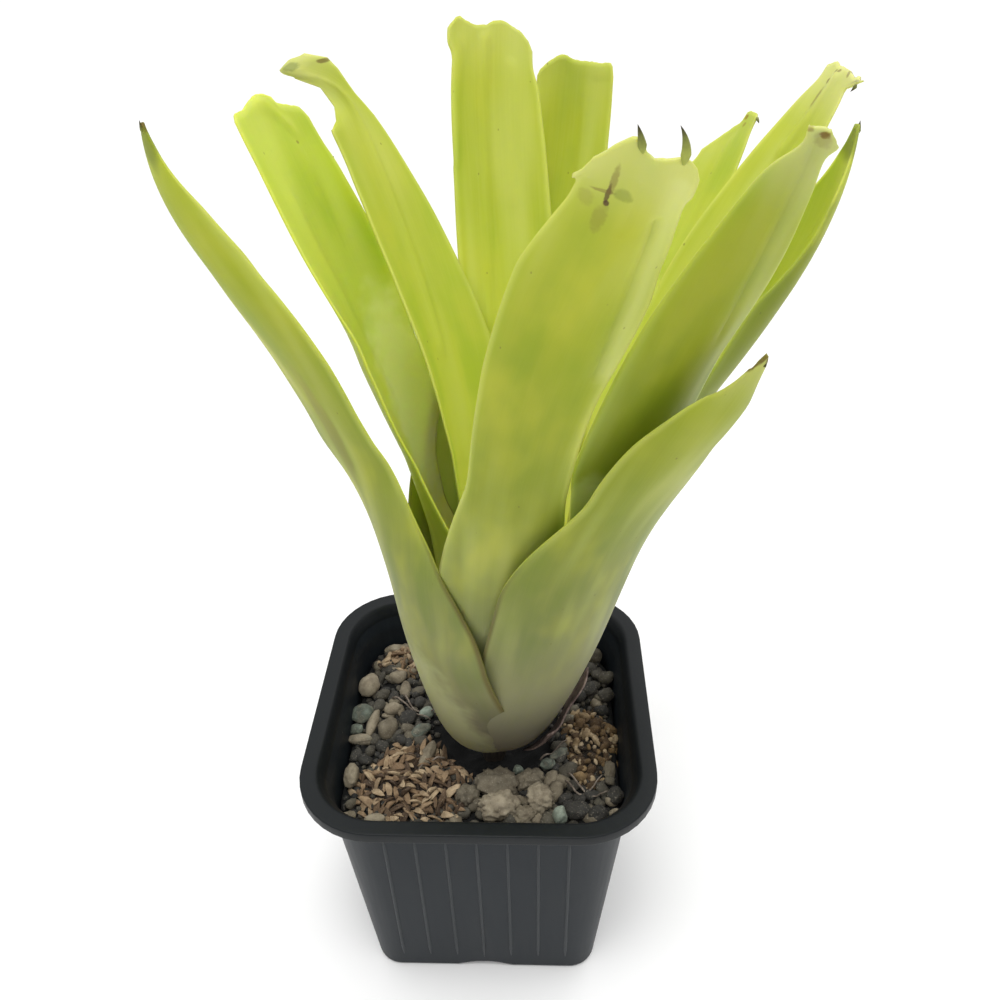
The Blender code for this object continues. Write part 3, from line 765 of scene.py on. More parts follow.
def husk_allowed(x, y, z):
    return float(room(x, y) > HUSK_ROOM)


def grit_allowed(x, y, z):
    """Coarse grit everywhere on top but the edge, the hollow and the husk and bark clumps."""
    blocked = near_foot(x, y) < GRIT_GAP or on_wall(z) or room(x, y) < GRIT_ROOM
    clumped = in_bed(x, y, "husk_clump_front") or in_bed(x, y, "bark_clump_right")
    return 0.0 if blocked or clumped else 1.0


def fines_allowed(x, y, z):
    blocked = near_foot(x, y) < FINES_GAP or on_wall(z) or room(x, y) < FINES_ROOM
    return 0.0 if blocked else 1.0


def layer(seed, spacing, size, rise, tones, **more):
    """One layer of bits. The size is length, width and thickness; all lengths are in mm."""
    lengths = dict(zip(("Spacing", "Length", "Width", "Thickness", "Rise"), (spacing, *size, rise)))
    return {**{name: mm * MM for name, mm in lengths.items()}, "Seed": seed,
            "Tone Low": tones[0], "Tone High": tones[1], **more}


grit = scatter("mix_grit", mix.data, stone, [
    layer(4, 2.7, (4.0, 3.0, 2.3), 0.7, (0.08, 0.72), Roughness=0.5, Tilt=0.6, Allowed=grit_allowed),
    layer(9, 1.5, (1.9, 1.4, 1.1), 0.3, (0.0, 0.4), Roughness=0.5, Tilt=0.8, Allowed=fines_allowed)])
tell(grit)


def clump(name, bed, top, seed, material, layers):
    """A mound over a bed with layers of bits on it."""
    surface = mound(name, BEDS[bed], top, seed)
    piece = scatter(name, surface, material, layers, surface)
    tell(piece)
    return piece


husks_front = clump("husk_pile_front", "husk_clump_front", 2.6, 3, husk, [
    layer(21, 1.35, (4.8, 1.45, 0.8), 0.9, (0.15, 1.0), Allowed=husk_allowed, Curl=0.9, Tilt=0.95,
          Swirl=0.8),
    # The low layer's darker tones are painted shade under the upper husks.
    layer(22, 1.3, (3.0, 1.2, 0.7), 0.2, (0.0, 0.6), Allowed=husk_allowed, Curl=0.7, Tilt=1.2,
          Swirl=0.4)])
husks_back = clump("husk_pile_back", "husk_clump_back", 2.0, 5, husk, [
    layer(31, 1.6, (5.2, 2.2, 1.1), 1.0, (0.25, 1.0), Allowed=husk_allowed, Curl=0.8, Roughness=0.5,
          Tilt=1.0, Swirl=0.4),
    layer(32, 1.3, (2.4, 1.2, 0.8), 1.6, (0.1, 1.0), Allowed=husk_allowed, Curl=0.6, Roughness=0.5,
          Tilt=1.3)])
barks = clump("bark_pile_right", "bark_clump_right", 2.4, 13, bark, [
    layer(41, 1.9, (3.6, 2.6, 1.9), 0.5, (0.1, 1.0), Curl=0.2, Roughness=0.6, Tilt=1.2),
    layer(42, 1.3, (1.7, 1.1, 0.9), 1.0, (0.2, 1.0), Roughness=0.6, Tilt=1.4)])

# %% [markdown]
# ## Stones that can be told apart
# The bigger pebbles and crumbly lumps are seen one by one, so they are listed: where,
# how long, wide and high, which way they lie, and their tone. Each is a ball pushed in and
# out by noise. A pebble gets slow noise only; a lump also gets fast noise, which crumbles it.

# %% Set stones
def set_stones(name, material, stones, seed, crumble, base=None):
    """stones: x, y, length, width, height, heading in degrees, tone."""
    bm = bmesh.new()
    tone_layer = bm.verts.layers.float.new("tone")
    for i, (x, y, long, wide, high, heading, tone) in enumerate(stones):
        made = bmesh.ops.create_icosphere(bm, subdivisions=4 if crumble else 3, radius=1.0)["verts"]
        offset = Vector((seed * 7.3 + i * 3.1, i * 1.7, seed))
        place = (Matrix.Translation(Vector((x, y, MIX_TOP + 0.36 * high)) * MM)
                 @ Matrix.Rotation(math.radians(heading), 4, "Z")
                 @ Matrix.Diagonal((long * MM / 2, wide * MM / 2, high * MM / 2, 1)))
        for v in made:
            p = v.co.copy()
            push = 0.26 * noise.noise(p * 0.9 + offset) + 0.10 * noise.noise(p * 2.3 + offset)
            push += crumble * (0.5 * noise.noise(p * 3.4 + offset)
                               - 0.45 * abs(noise.noise(p * 6.0 + offset)))
            v.co = place @ (p * (1 + push))
            v[tone_layer] = tone + 0.06 * noise.noise(p * 2.0 + offset)
    parts = [place_piece(name, smooth_mesh(bm, name), [material])]
    if base:
        parts.append(painted_shade_base(name, base, material))
    return join(name, parts)


LEFT_PEBBLES = [
    (-30.5, 14.0, 7.4, 5.4, 4.6, 80, 0.78), (-23.5, 18.2, 4.6, 3.6, 3.0, 20, 0.7),
    (-28.0, 1.8, 9.8, 2.7, 2.6, 84, 0.72), (-24.0, -0.3, 6.2, 4.6, 4.0, 75, 0.55),
    (-23.4, 6.4, 4.4, 3.6, 3.4, 30, 0.74), (-31.0, 4.6, 6.6, 5.0, 3.6, 60, 0.91),
    (-21.0, 13.2, 5.8, 2.9, 2.8, 100, 0.66), (-14.8, 5.4, 3.8, 3.2, 2.8, 10, 0.99),
    (-31.8, -0.4, 3.4, 3.0, 2.6, 0, 0.93), (-30.4, -3.4, 6.0, 2.9, 2.6, 6, 0.82),
    (-20.2, -3.6, 3.8, 3.0, 2.4, 150, 0.14), (-19.6, 3.8, 5.0, 4.4, 3.0, 40, 0.16),
    (-15.8, -0.6, 5.6, 3.6, 2.6, 35, 0.91), (-27.0, 11.6, 3.8, 3.0, 2.4, 15, 0.35),
    (-17.0, 9.0, 3.6, 3.0, 2.6, 60, 0.2), (-25.8, 20.6, 4.8, 3.8, 2.8, 0, 0.25),
    (-17.6, 13.0, 4.0, 3.2, 2.6, 20, 0.45), (-27.4, 7.6, 4.0, 3.4, 2.8, 50, 0.3),
]
pebble_bed = mound("p", BEDS["pebbles_left"], 1.0, 7)
pebbles = set_stones("pebble_pile_left", stone, LEFT_PEBBLES, 7, 0.0, pebble_bed)
tell(pebbles)

PALE_LUMPS = [
    (3.8, -17.8, 10.0, 8.6, 5.6, 20, 0.52), (4.4, -24.2, 10.0, 7.4, 6.0, 0, 0.74),
    (13.8, -21.8, 6.4, 7.2, 5.6, 10, 0.72), (11.6, -16.0, 7.0, 5.0, 4.4, 25, 0.55),
    (10.2, -25.8, 7.0, 4.6, 3.6, 15, 0.6), (-2.6, -21.0, 6.0, 5.0, 4.6, 60, 0.5),
]
lump_bed = mound("l", BEDS["pale_lumps_front"], 1.0, 11)
lumps = set_stones("pale_lump_pile", stone, PALE_LUMPS, 11, 0.55, lump_bed)
tell(lumps)

LOOSE_STONES = [
    (18.5, -26.2, 4.2, 3.4, 4.4, 80, 1.0), (22.4, -24.4, 6.4, 4.6, 3.6, 10, 0.16),
    (31.2, -20.4, 4.6, 3.8, 3.6, 60, 0.2), (27.0, -25.4, 5.2, 4.4, 3.4, 30, 0.13),
    (30.6, -24.2, 3.2, 1.5, 1.2, 35, 0.8), (28.4, 26.4, 5.2, 4.4, 3.8, 10, 0.42),
    (27.0, 21.2, 4.6, 3.8, 3.2, 50, 0.24), (31.4, 18.2, 4.6, 3.8, 3.2, 20, 0.36),
    (26.8, 14.0, 4.4, 3.8, 3.2, 70, 0.22), (31.0, 12.0, 4.4, 3.6, 3.4, 40, 0.3),
    (20.8, 4.6, 4.6, 1.8, 1.4, 12, 0.84), (8.8, -12.8, 2.2, 2.6, 2.6, 80, 0.97),
    (15.8, -10.6, 3.8, 2.6, 2.2, 20, 0.93), (18.6, -7.4, 5.2, 2.4, 1.8, 40, 0.9),
    (-30.6, -15.6, 3.6, 6.0, 4.4, 0, 0.68), (-23.6, -28.0, 5.0, 3.6, 3.2, 5, 0.75),
    (-13.2, -8.4, 8.4, 3.2, 3.0, 76, 0.62), (-25.6, 29.0, 6.0, 3.0, 2.6, 10, 0.78),
    (20.0, 26.0, 5.0, 4.2, 3.2, 30, 0.5), (6.0, 29.0, 5.6, 4.4, 3.4, 120, 0.35),
    (-6.0, 28.0, 4.6, 4.0, 3.2, 40, 0.6), (15.0, 18.0, 4.2, 3.6, 3.0, 10, 0.2),
    (-10.0, 19.0, 4.8, 4.0, 3.2, 80, 0.7), (23.4, 30.2, 4.6, 3.6, 3.0, 15, 0.62),
]
loose = set_stones("loose_stones", stone, LOOSE_STONES, 17, 0.06)
tell(loose)

# %% [markdown]
# ## The leaves: one rule, thirteen leaves
# Every leaf follows the same rule. Its foot is a sheath on the rosette's turned profile, one
# step inside the leaf before it. Above the throat its middle line is a smooth curve to the
# tip, and the blade is a strip rolled about that line like a gutter. So a leaf is a handful
# of numbers. Python works out the middle line, and a tree rolls the strip, adds ripples and
# folds. Solidify then gives it its thickness, which thins towards the margins.

# %% Leaf values
@dataclass
class Leaf:
    """Angles in degrees, lengths in mm; the names are those of the solid model's leaves."""

    name: str
    azimuth: float
    nest: int
    throat: float
    reach: float
    height: float
    swing: float = 0
    rise: float = 75
    low_pull: float = 0.4
    high_pull: float = 0.25
    sheath: float = 15
    blade: float = 10
    shoulder: float = 0.45
    channel: float = 55
    end_channel: float = 30
    twist: float = 0
    taper: float = 0.8
    round_off: float = 0.0
    hook: float = 0.0
    hook_power: float = 2.0
    turns: list = field(default_factory=list)
    sides: list = field(default_factory=list)
    curls: list = field(default_factory=list)
    bloom: float = 0.0
    pale_tip: float = 0.3
    glow: float = 0.4
    streaks: list = field(default_factory=list)
    edge: list = field(default_factory=list)
    folds: list = field(default_factory=list)
    marks: list = field(default_factory=list)
    press: tuple = ()
    light: float = 0.0
    scorch: float = 0.0


# edge: (place across, mm cut away there), less than 0 where the end reaches further
# turns: (share along, degrees on top of the twist); curls: (share along, factor on the curl)
# sides: (share along, factor on the half width at side < 0, the same at side > 0)
# folds: a line of (share along, place across), its depth and half width in mm
# streaks: a line of the same kind, its strength and half width in mm, where a pale painted highlight lies
# press: which side hugs the leaf inside it, and (height, mm) how far
# marks: mm from the end, mm across, half length, half width, strength, colour name
# light: painted light over the whole leaf where above 0, painted shade where below 0
LEAVES = [
    Leaf("leaf_left_low", 188, 0, 44, 64, 144, rise=86, low_pull=0.66, high_pull=0.27, sheath=30,
         blade=10.2, shoulder=0.32, channel=56, end_channel=15, twist=5, taper=0.12, hook=1, scorch=1.0,
         pale_tip=0.0, round_off=2,
         turns=[(0.1, -9), (0.22, -37), (0.4, -39), (0.6, -44), (0.8, -45), (1, -46)],
         sides=[(0.04, 0.76, 0.92), (0.1, 0.68, 0.84), (0.16, 0.6, 0.78), (0.21, 0.8, 0.81),
             (0.25, 0.97, 0.92), (0.3, 0.97, 1.04), (0.4, 0.98, 1.09), (0.6, 1.01, 0.9),
             (0.8, 1.04, 1.08), (0.93, 1.0, 1.05), (0.98, 0.75, 0.7), (1, 0.2, 0.2)],
         curls=[(0.2, 0.94), (0.4, 0.86), (0.6, 0.95), (0.8, 0.94), (0.92, 0.81), (1, 0.72)],
         press=(1, [(0, 1.9), (24, 1.9), (34, 0.9), (42, 0.9), (50, 2.8), (66, 2.8), (86, 0)]),
         # the large pale mark is painted light on the low outer face
         marks=[(138, 9, 28, 13, 0.4, "pale"), (1.0, 0, 7, 2.5, 0.6, "moss_and_painted_shade"),
             (62, 1, 14, 2.5, 0.3, "brown")]),
    Leaf("leaf_front_right_low", 308, 1, 62, 53, 126, rise=70, low_pull=0.45, high_pull=0.4, sheath=20,
         blade=11.6, channel=48, end_channel=42, twist=15, taper=0.12, scorch=1.0,
         edge=[(-1, 3), (0, 0), (1, 3)], light=-0.06, bloom=0.25,
         # the streak is a painted highlight
         streaks=[([(0.5, 0.6), (0.25, 0.68), (0.05, 0.6)], 0.2, 2.8)],
         sides=[(0.85, 1, 1), (0.94, 1.2, 1.15), (1, 1.1, 1.1)],
         press=(-1, [(20, 0), (36, 2.1), (66, 2.1), (90, 0)]), round_off=2),
    Leaf("leaf_back_low", 117, 2, 50, 42, 110, rise=60, sheath=17, blade=9.5, channel=50, taper=0.25,
         edge=[(-1, 5), (0, 0), (1, 5)], light=-0.25,
         sides=[(0.05, 1, 1.2), (0.25, 1, 1.2), (0.45, 1, 0.9)], round_off=2),
    Leaf("leaf_back_right_low", 52, 3, 50, 48, 112, rise=58, sheath=16, blade=9.2, channel=50, taper=0.4,
         edge=[(-1, 4), (0.1, 0), (1, 3)], scorch=0.8, sides=[(0.05, 0.7, 1), (0.3, 0.7, 1), (0.5, 1, 1)],
         round_off=2),
    Leaf("leaf_front", 263, 4, 54, 54, 156, swing=16, rise=73, low_pull=0.67, high_pull=0.15, sheath=14,
         blade=10.4, channel=42, end_channel=32, twist=2, taper=0.85, bloom=0.8, pale_tip=0.4,
         turns=[(0.1, -2), (0.22, 3), (0.4, 3), (0.6, -1), (1, 0)],
         sides=[(0.2, 0.6, 0.79), (0.4, 0.85, 0.9), (0.6, 0.91, 1.14), (0.8, 0.67, 0.81),
             (0.87, 0.66, 0.76), (0.93, 0.76, 0.84), (1, 0.86, 0.84)],
         curls=[(0.4, 1.01), (0.6, 1.16), (0.8, 1.15), (0.92, 1.08), (1, 1)],
         edge=[(-0.86, 5.6), (-0.72, 4.4), (-0.58, 2.5), (-0.45, 1.6), (-0.33, 0.5), (-0.21, -0.3),
             (-0.1, -1.0), (-0.01, -0.8), (0.05, 0), (0.11, 0.8), (0.21, 1.4), (0.38, 1.4), (0.56, 1.2),
             (0.69, 1.7), (0.79, 2.8), (0.84, 4.1)],
         # the streak is a painted highlight beside the fold
         streaks=[([(0.94, 0.66), (0.86, 0.62), (0.75, 0.7), (0.62, 0.85), (0.45, 0.86)], 0.3, 1.8)],
         folds=[([(0.82, 0.48), (0.7, 0.58), (0.62, 0.66), (0.45, 0.72)], 0.8, 0.6),
             ([(0.92, 0.12), (0.86, 0.16), (0.78, 0.12)], 0.25, 0.6),
             ([(0.9, -0.55), (0.74, -0.5)], 0.2, 0.9)],
         marks=[(7.2, -2.1, 1.5, 0.32, 0.75, "plum"), (8.5, -1.9, 0.45, 0.4, 0.85, "plum"),
             (5.2, -1.9, 2.3, 0.45, 0.5, "brown"), (6.9, -2.9, 0.3, 1.6, 0.5, "brown"),
             (6.8, -0.4, 0.8, 1.3, 0.35, "moss_and_painted_shade"), (11.0, -2.0, 2.6, 0.9, 0.3, "brown"),
             (9.0, -4.5, 1.5, 1.2, 0.2, "brown"), (108.0, -6.5, 1.4, 0.5, 0.4, "brown")]),
    Leaf("leaf_right_low", 5, 5, 47, 53, 148, rise=91, low_pull=0.4, high_pull=0.31, sheath=15, blade=9.6,
         channel=62, end_channel=34, twist=-5, taper=0.2, hook=1, light=-0.05, pale_tip=0.0, glow=0.7,
         round_off=2,
         turns=[(0.1, 10), (0.22, 19), (0.4, 23), (0.6, 13), (0.8, 6), (1, 2)],
         sides=[(0.06, 0.85, 0.75), (0.2, 0.85, 0.75), (0.3, 1.1, 0.95), (0.4, 1.4, 1), (0.6, 1.4, 1.05),
             (0.8, 1.17, 1.2), (0.92, 1.16, 1.35), (0.97, 0.9, 1.0), (1, 0.25, 0.25)],
         curls=[(0.2, 1.13), (0.4, 1.19), (0.6, 1.01), (0.8, 1.09), (0.92, 1.35), (1, 1.35)],
         # the long dark green mark is painted shade low on this leaf; the small one at the tip is a real spot
         marks=[(1.5, 0.0, 5.0, 3.0, 0.6, "moss_and_painted_shade"), (45, -9, 42, 8, 0.5, "moss_and_painted_shade")]),
    Leaf("leaf_left", 155, 6, 38, 57, 139, rise=59, low_pull=0.33, high_pull=0.45, sheath=14, blade=10.2,
         channel=47, end_channel=18, twist=12, taper=0.88, pale_tip=0.1, glow=0.9, light=0.15,
         turns=[(0.1, -16), (0.22, -26), (0.4, -21), (0.6, 0), (0.8, 3), (1, -4)],
         sides=[(0.12, 0.8, 1.4), (0.2, 0.75, 1.5), (0.33, 0.85, 1.45), (0.43, 1.28, 1.4),
             (0.6, 0.95, 1.4), (0.8, 1.02, 1.1), (0.94, 0.98, 1.06), (0.975, 0.9, 1.1), (1, 0.88, 1.1)],
         curls=[(0.2, 1.21), (0.4, 1.35), (0.6, 1.35), (0.8, 1.32), (0.92, 1.2), (1, 1.03)],
         edge=[(-0.92, 4.4), (-0.88, 3.1), (-0.77, 0.8), (-0.49, -0.3), (-0.29, -1.0), (-0.22, -2.4),
             (-0.06, -3.3), (0.15, -3.5), (0.42, -2.8), (0.66, -1.6), (1.01, -1.2), (1.1, 0.3)],
         folds=[([(0.985, 0.55), (0.99, 0.1), (0.965, -0.4)], 0.6, 0.5),
             ([(0.88, 0.5), (0.7, 0.35), (0.5, 0.1)], 0.35, 1.2),
             ([(0.93, -0.3), (0.8, -0.2)], 0.25, 0.7)],
         # the large inner mark is painted light on the shaded lower upper face
         marks=[(7.5, -3.0, 0.35, 0.3, 0.7, "brown"), (62, -5, 26, 8, 0.9, "inner")]),
    Leaf("leaf_right_front", 308, 7, 40, 55, 156, swing=-1, rise=72, low_pull=0.38, high_pull=0.18,
         sheath=14, blade=11.2, channel=47, end_channel=25, twist=15, taper=0.27, light=-0.22,
         pale_tip=0.7, glow=0.6,
         turns=[(0.1, -7), (0.22, -15), (0.4, 3), (0.6, -3), (0.8, 9), (1, 22)],
         sides=[(0.2, 0.5, 0.8), (0.3, 0.6, 0.8), (0.4, 0.95, 0.85), (0.6, 1.09, 0.7), (0.8, 1.02, 0.57),
             (0.91, 1.0, 0.42), (0.945, 0.8, 0.3), (0.965, 0.55, 0.3), (0.98, 0.6, 0.5), (1, 0.95, 0.85)],
         curls=[(0.4, 1.03), (0.6, 0.94), (0.8, 0.98), (0.92, 1.07), (1, 1.15)],
         edge=[(-0.95, -0.4), (-0.74, -0.4), (-0.24, -0.7), (0.06, -0.7), (0.42, 0.3), (0.75, 1.2),
             (0.9, 1.6)],
         folds=[([(0.985, -0.3), (0.93, -0.1), (0.8, 0.05), (0.65, 0.2)], 0.5, 0.8)],
         # the streak is a painted highlight
         streaks=[([(0.93, 0.1), (0.8, 0.2), (0.6, 0.4), (0.4, 0.55)], 0.25, 1.4)],
         marks=[(0.6, -0.3, 0.5, 0.7, 0.8, "rust"), (0.3, -2.3, 0.4, 0.5, 0.5, "rust"),
             # the large pale mark is painted light on a shaded low part
             (1.2, -0.3, 1.1, 1.3, 0.25, "rust"), (80, -6, 14, 7, 0.5, "pale")]),
    Leaf("leaf_right_high", 22, 9, 48, 57, 153, rise=64, low_pull=0.4, high_pull=0.22, sheath=14,
         blade=9.8, channel=52, end_channel=24, taper=0.45, pale_tip=0.6,
         turns=[(0.4, 1), (0.6, -11), (0.8, -10), (1, 6)], curls=[(0.9, 1), (1, 0.35)],
         folds=[([(0.98, 0.06), (0.9, 0.1), (0.81, 0.25)], 0.8, 0.9)],
         sides=[(0.6, 1, 1), (0.93, 0.92, 0.95), (0.96, 0.78, 0.88), (0.978, 0.76, 0.95),
             (0.99, 1.5, 1.05), (1, 2.7, 1.1)],
         edge=[(-2.6, 1.4), (-2.2, 0.6), (-1.9, 0.9), (-1.5, 0), (-1.2, 0.5), (-0.8, -0.2), (-0.4, -0.8),
             (0.04, -1.0), (0.35, -1.0), (0.61, -1.6), (1.08, -0.6)],
         marks=[(3.0, 1.6, 0.6, 0.5, 0.7, "brown"), (6.0, 1.8, 2.0, 0.5, 0.5, "brown"),
             (1.0, 0.3, 0.4, 0.4, 0.7, "brown"), (1.2, 1.2, 0.5, 0.4, 0.7, "brown"),
             (0.5, -2.6, 0.7, 0.5, 0.6, "brown")]),
    Leaf("leaf_back_right_inner", 43, 8, 50, 54, 143, rise=64, low_pull=0.36, high_pull=0.3, sheath=12,
         blade=9.4, channel=34, taper=0.5, light=0.05, pale_tip=0.15,
         folds=[([(0.96, -0.3), (0.8, -0.1), (0.65, 0)], 0.4, 0.8)],
         sides=[(0.8, 1, 1), (0.93, 1.08, 1), (0.965, 1.04, 0.9), (1, 1.3, 0.9)],
         edge=[(-1.54, 2.3), (-1.07, 0.5), (-0.63, 0.2), (-0.44, 0.7), (-0.38, 2.6), (-0.09, 3.7),
             (0.38, 6.3), (0.9, 9.5)],
         marks=[(1.0, -2.6, 0.6, 0.5, 0.7, "rust"), (2.6, -2.9, 0.5, 0.4, 0.5, "rust")]),
    Leaf("leaf_back_right", 79, 10, 57, 42, 149, swing=1, rise=90, high_pull=0.33, sheath=13, blade=9.1,
         channel=40, end_channel=31, taper=0.8, pale_tip=0.1,
         sides=[(0.85, 1, 1), (0.95, 1.02, 1.1), (1, 1.02, 1.17)],
         edge=[(-1.03, 2.5), (-1.0, 1.3), (-0.93, -0.2), (-0.8, -0.3), (-0.56, 0.1), (-0.27, 0),
             (0.01, 0.1), (0.23, -0.2), (0.41, -0.8), (0.54, -0.8), (0.83, 0.4), (1.08, 1.9),
             (1.17, 3.2)],
         folds=[([(0.985, 0.3), (0.98, -0.8)], 0.35, 0.5), ([(0.96, -0.25), (0.7, -0.3)], 0.3, 0.8)]),
    Leaf("leaf_back", 93, 11, 60, 38, 156, swing=8, rise=70, low_pull=0.42, sheath=12, blade=10.2,
         channel=38, end_channel=28, taper=0.8, pale_tip=0.2,
         sides=[(0.7, 1, 1), (0.85, 0.93, 1), (0.92, 0.86, 0.99), (0.955, 0.86, 1.15), (1, 0.9, 1.18)],
         edge=[(-0.9, 6.0), (-0.78, 3.9), (-0.6, 2.3), (-0.33, 1.1), (-0.2, 0.5), (-0.07, 0.4),
             (0.08, 0.6), (0.21, 1.3), (0.49, 1.6), (0.76, 0.9), (0.92, 0.2), (0.99, 1.0), (1.17, 2.4),
             (1.19, 3.6)],
         folds=[([(0.97, 0.25), (0.7, 0.3), (0.37, 0.44)], 0.55, 0.9),
             ([(0.95, 0.8), (0.69, 0.94)], 0.35, 0.7), ([(0.9, -0.35), (0.6, -0.2)], 0.3, 0.9)]),
    Leaf("leaf_left_back", 141, 12, 46, 52, 149, swing=2, rise=50, low_pull=0.27, high_pull=0.6,
         sheath=13, blade=10.2, channel=42, end_channel=19, taper=0.36, hook=12, hook_power=7,
         pale_tip=0.5, light=-0.08, curls=[(0.8, 0.92), (0.92, 0.88), (1, 0.9)],
         turns=[(0.2, -2), (0.4, -7), (0.6, -4), (0.8, 4), (0.96, 8), (0.985, 40), (1, 54)],
         sides=[(0.4, 1.06, 1.0), (0.6, 1.14, 1.15), (0.8, 1.05, 1.42), (0.9, 0.95, 1.5),
             (0.93, 0.86, 1.66), (0.948, 0.65, 1.9), (0.958, 0.48, 2.0), (0.969, 0.39, 1.9),
             (0.979, 0.5, 0.9), (0.99, 1.5, 0.1), (1, 0.95, 0.05)],
         edge=[(-1.1, 6.5), (-0.9, 5), (-0.75, 3), (-0.24, 0.8), (-0.1, 1.4), (0.12, 3.6)],
         folds=[([(0.985, 0.1), (0.93, 0.0), (0.8, 0.1), (0.6, 0.2)], 0.5, 0.9)],
         marks=[(5.5, -3.2, 0.7, 0.6, 0.8, "brown"), (1.5, -1.4, 1.6, 0.9, 0.5, "moss_and_painted_shade")]),
]
SHEATH_ROWS, BLADE_ROWS, COLUMNS = 22, 96, 32
# the rosette's outside radius at heights over its foot
PROFILE = np.array([(0, 4), (5, 10.5), (10, 14), (18, 17), (28, 20), (40, 23), (55, 26), (75, 30),
                    (120, 38)], float)
NEST_STEP, NEST_RISE, FIRST_RADIUS, WRAP = 1.25, 0.75, 3.65, math.radians(105)
print(len(LEAVES), "leaves")

# %% [markdown]
# ## The middle line of a leaf
# Numpy works on a whole leaf at once. For each row it finds where the middle line is, which
# way is inward, across and along, how wide the half leaf is and how tightly it curls.

# %% Middle lines
def smooth(t):
    t = np.clip(t, 0.0, 1.0)
    return t * t * (3 - 2 * t)


def unit(a):
    return a / np.linalg.norm(a, axis=-1, keepdims=True)


def profile_radius(height):
    """The rosette's outside radius at a height: a smooth curve through the profile."""
    h, r = PROFILE.T
    height = np.maximum(np.asarray(height, float), 0.0)
    ends = np.array([0, *range(len(h)), len(h) - 1])
    slope = (r[ends[2:]] - r[ends[:-2]]) / (h[ends[2:]] - h[ends[:-2]])
    i = np.clip(np.searchsorted(h, height) - 1, 0, len(h) - 2)
    span = h[i + 1] - h[i]
    t = (height - h[i]) / span
    return ((2 * t**3 - 3 * t**2 + 1) * r[i] + (t**3 - 2 * t**2 + t) * span * slope[i]
            + (3 * t**2 - 2 * t**3) * r[i + 1] + (t**3 - t**2) * span * slope[i + 1])


def eased(share, knots, start, column=1):
    """A value that follows the knots (share along, value, ...) without corners."""
    if not knots:
        return np.full(share.shape, float(start))
    at = [0.0] + [k[0] for k in knots]
    value = [start] + [k[column] for k in knots]
    return sum(np.interp(share + shift, at, value) for shift in (-0.016, -0.008, 0, 0.008, 0.016)) / 5


def leaf_rows(leaf):
    """The rows of a leaf, in the rosette's own frame and in mm."""
    a = math.radians(leaf.azimuth)
    out = np.array((math.cos(a), math.sin(a), 0))
    left = np.array((-math.sin(a), math.cos(a), 0))
    up = np.array((0, 0, 1.0))

    def radius(h):
        return profile_radius(h - leaf.nest * NEST_RISE) - leaf.nest * NEST_STEP

    tries = np.arange(0, 60, 0.25)
    first = tries[np.argmax(radius(tries) >= FIRST_RADIUS)]
    heights = first + (leaf.throat - first) * np.linspace(0, 1, SHEATH_ROWS + 1) ** 1.25
    low = radius(heights)[:, None] * out + heights[:, None] * up
    begin, end = low[-1], leaf.reach * out + leaf.swing * left + leaf.height * up
    flare = float(radius(leaf.throat + 0.5) - radius(leaf.throat - 0.5))
    rise, length = math.radians(leaf.rise), np.linalg.norm(end - begin)
    p1 = begin + leaf.low_pull * length * unit(flare * out + up)
    p2 = end - leaf.high_pull * length * (math.cos(rise) * out + math.sin(rise) * up)
    t = np.linspace(0, 1, BLADE_ROWS + 1)[1:, None]
    line = np.concatenate((low, (1 - t) ** 3 * begin + 3 * t * (1 - t) ** 2 * p1
                           + 3 * t * t * (1 - t) * p2 + t**3 * end))
    share = np.concatenate((np.zeros(SHEATH_ROWS + 1), t[:, 0]))
    bend = np.maximum(0, (share - 0.85) / 0.15)[:, None]
    power = leaf.hook_power
    line = line + leaf.hook * bend**power * left - 0.25 * abs(leaf.hook) * bend ** (power + 1) * up
    along = unit(np.gradient(line, axis=0))
    across = unit(left - (along @ left)[:, None] * along)
    inward = np.cross(across, along)
    inward[inward @ (0.2 * up - out) < 0] *= -1
    mix_in = smooth(share / 0.35)[:, None]
    inward = unit(-out * (1 - mix_in) + inward * mix_in)
    turn = np.radians(leaf.twist * smooth(share) + eased(share, leaf.turns, 0))[:, None]
    inward, across = (inward * np.cos(turn) + across * np.sin(turn),
                      across * np.cos(turn) - inward * np.sin(turn))
    width = leaf.sheath + (leaf.blade - leaf.sheath) * smooth(share / leaf.shoulder)
    width = width * (1 - (1 - leaf.taper) * np.maximum(0, (share - 0.45) / 0.55) ** 1.6)
    curl = leaf.channel + (leaf.end_channel - leaf.channel) * smooth((share - 0.5) / 0.5)
    curl = curl * eased(share, leaf.curls, 1)
    free = smooth((share - 0.18) / 0.5)
    around = (line @ out) * (1 - free) + width / np.radians(curl) * free
    sheath = radius(heights)
    width[: SHEATH_ROWS + 1] = np.minimum(leaf.sheath, WRAP * sheath)
    around[: SHEATH_ROWS + 1] = sheath
    reach = np.concatenate(([0], np.cumsum(np.linalg.norm(np.diff(line, axis=0), axis=1))))
    return {"line": line, "along": along, "across": across, "inward": inward, "width": width,
            "around": around, "share": share, "reach": reach}


example = leaf_rows(LEAVES[0])
print("the left leaf is", round(float(example["reach"][-1]), 1), "mm long")

# %% [markdown]
# ## From numbers to a strip
# Each leaf becomes a flat grid of points. What the trees need is stored on the points: the
# place on the middle line, the three directions, how much of the end is cut away, and how
# deep the folds are.

# %% Leaf strip
def end_cut(leaf, v):
    """How much of the blade's length is missing at a place across it, in mm."""
    cut = leaf.round_off * np.abs(v) ** 3
    if leaf.edge:
        cut = cut + np.interp(v, *zip(*leaf.edge))
    return cut


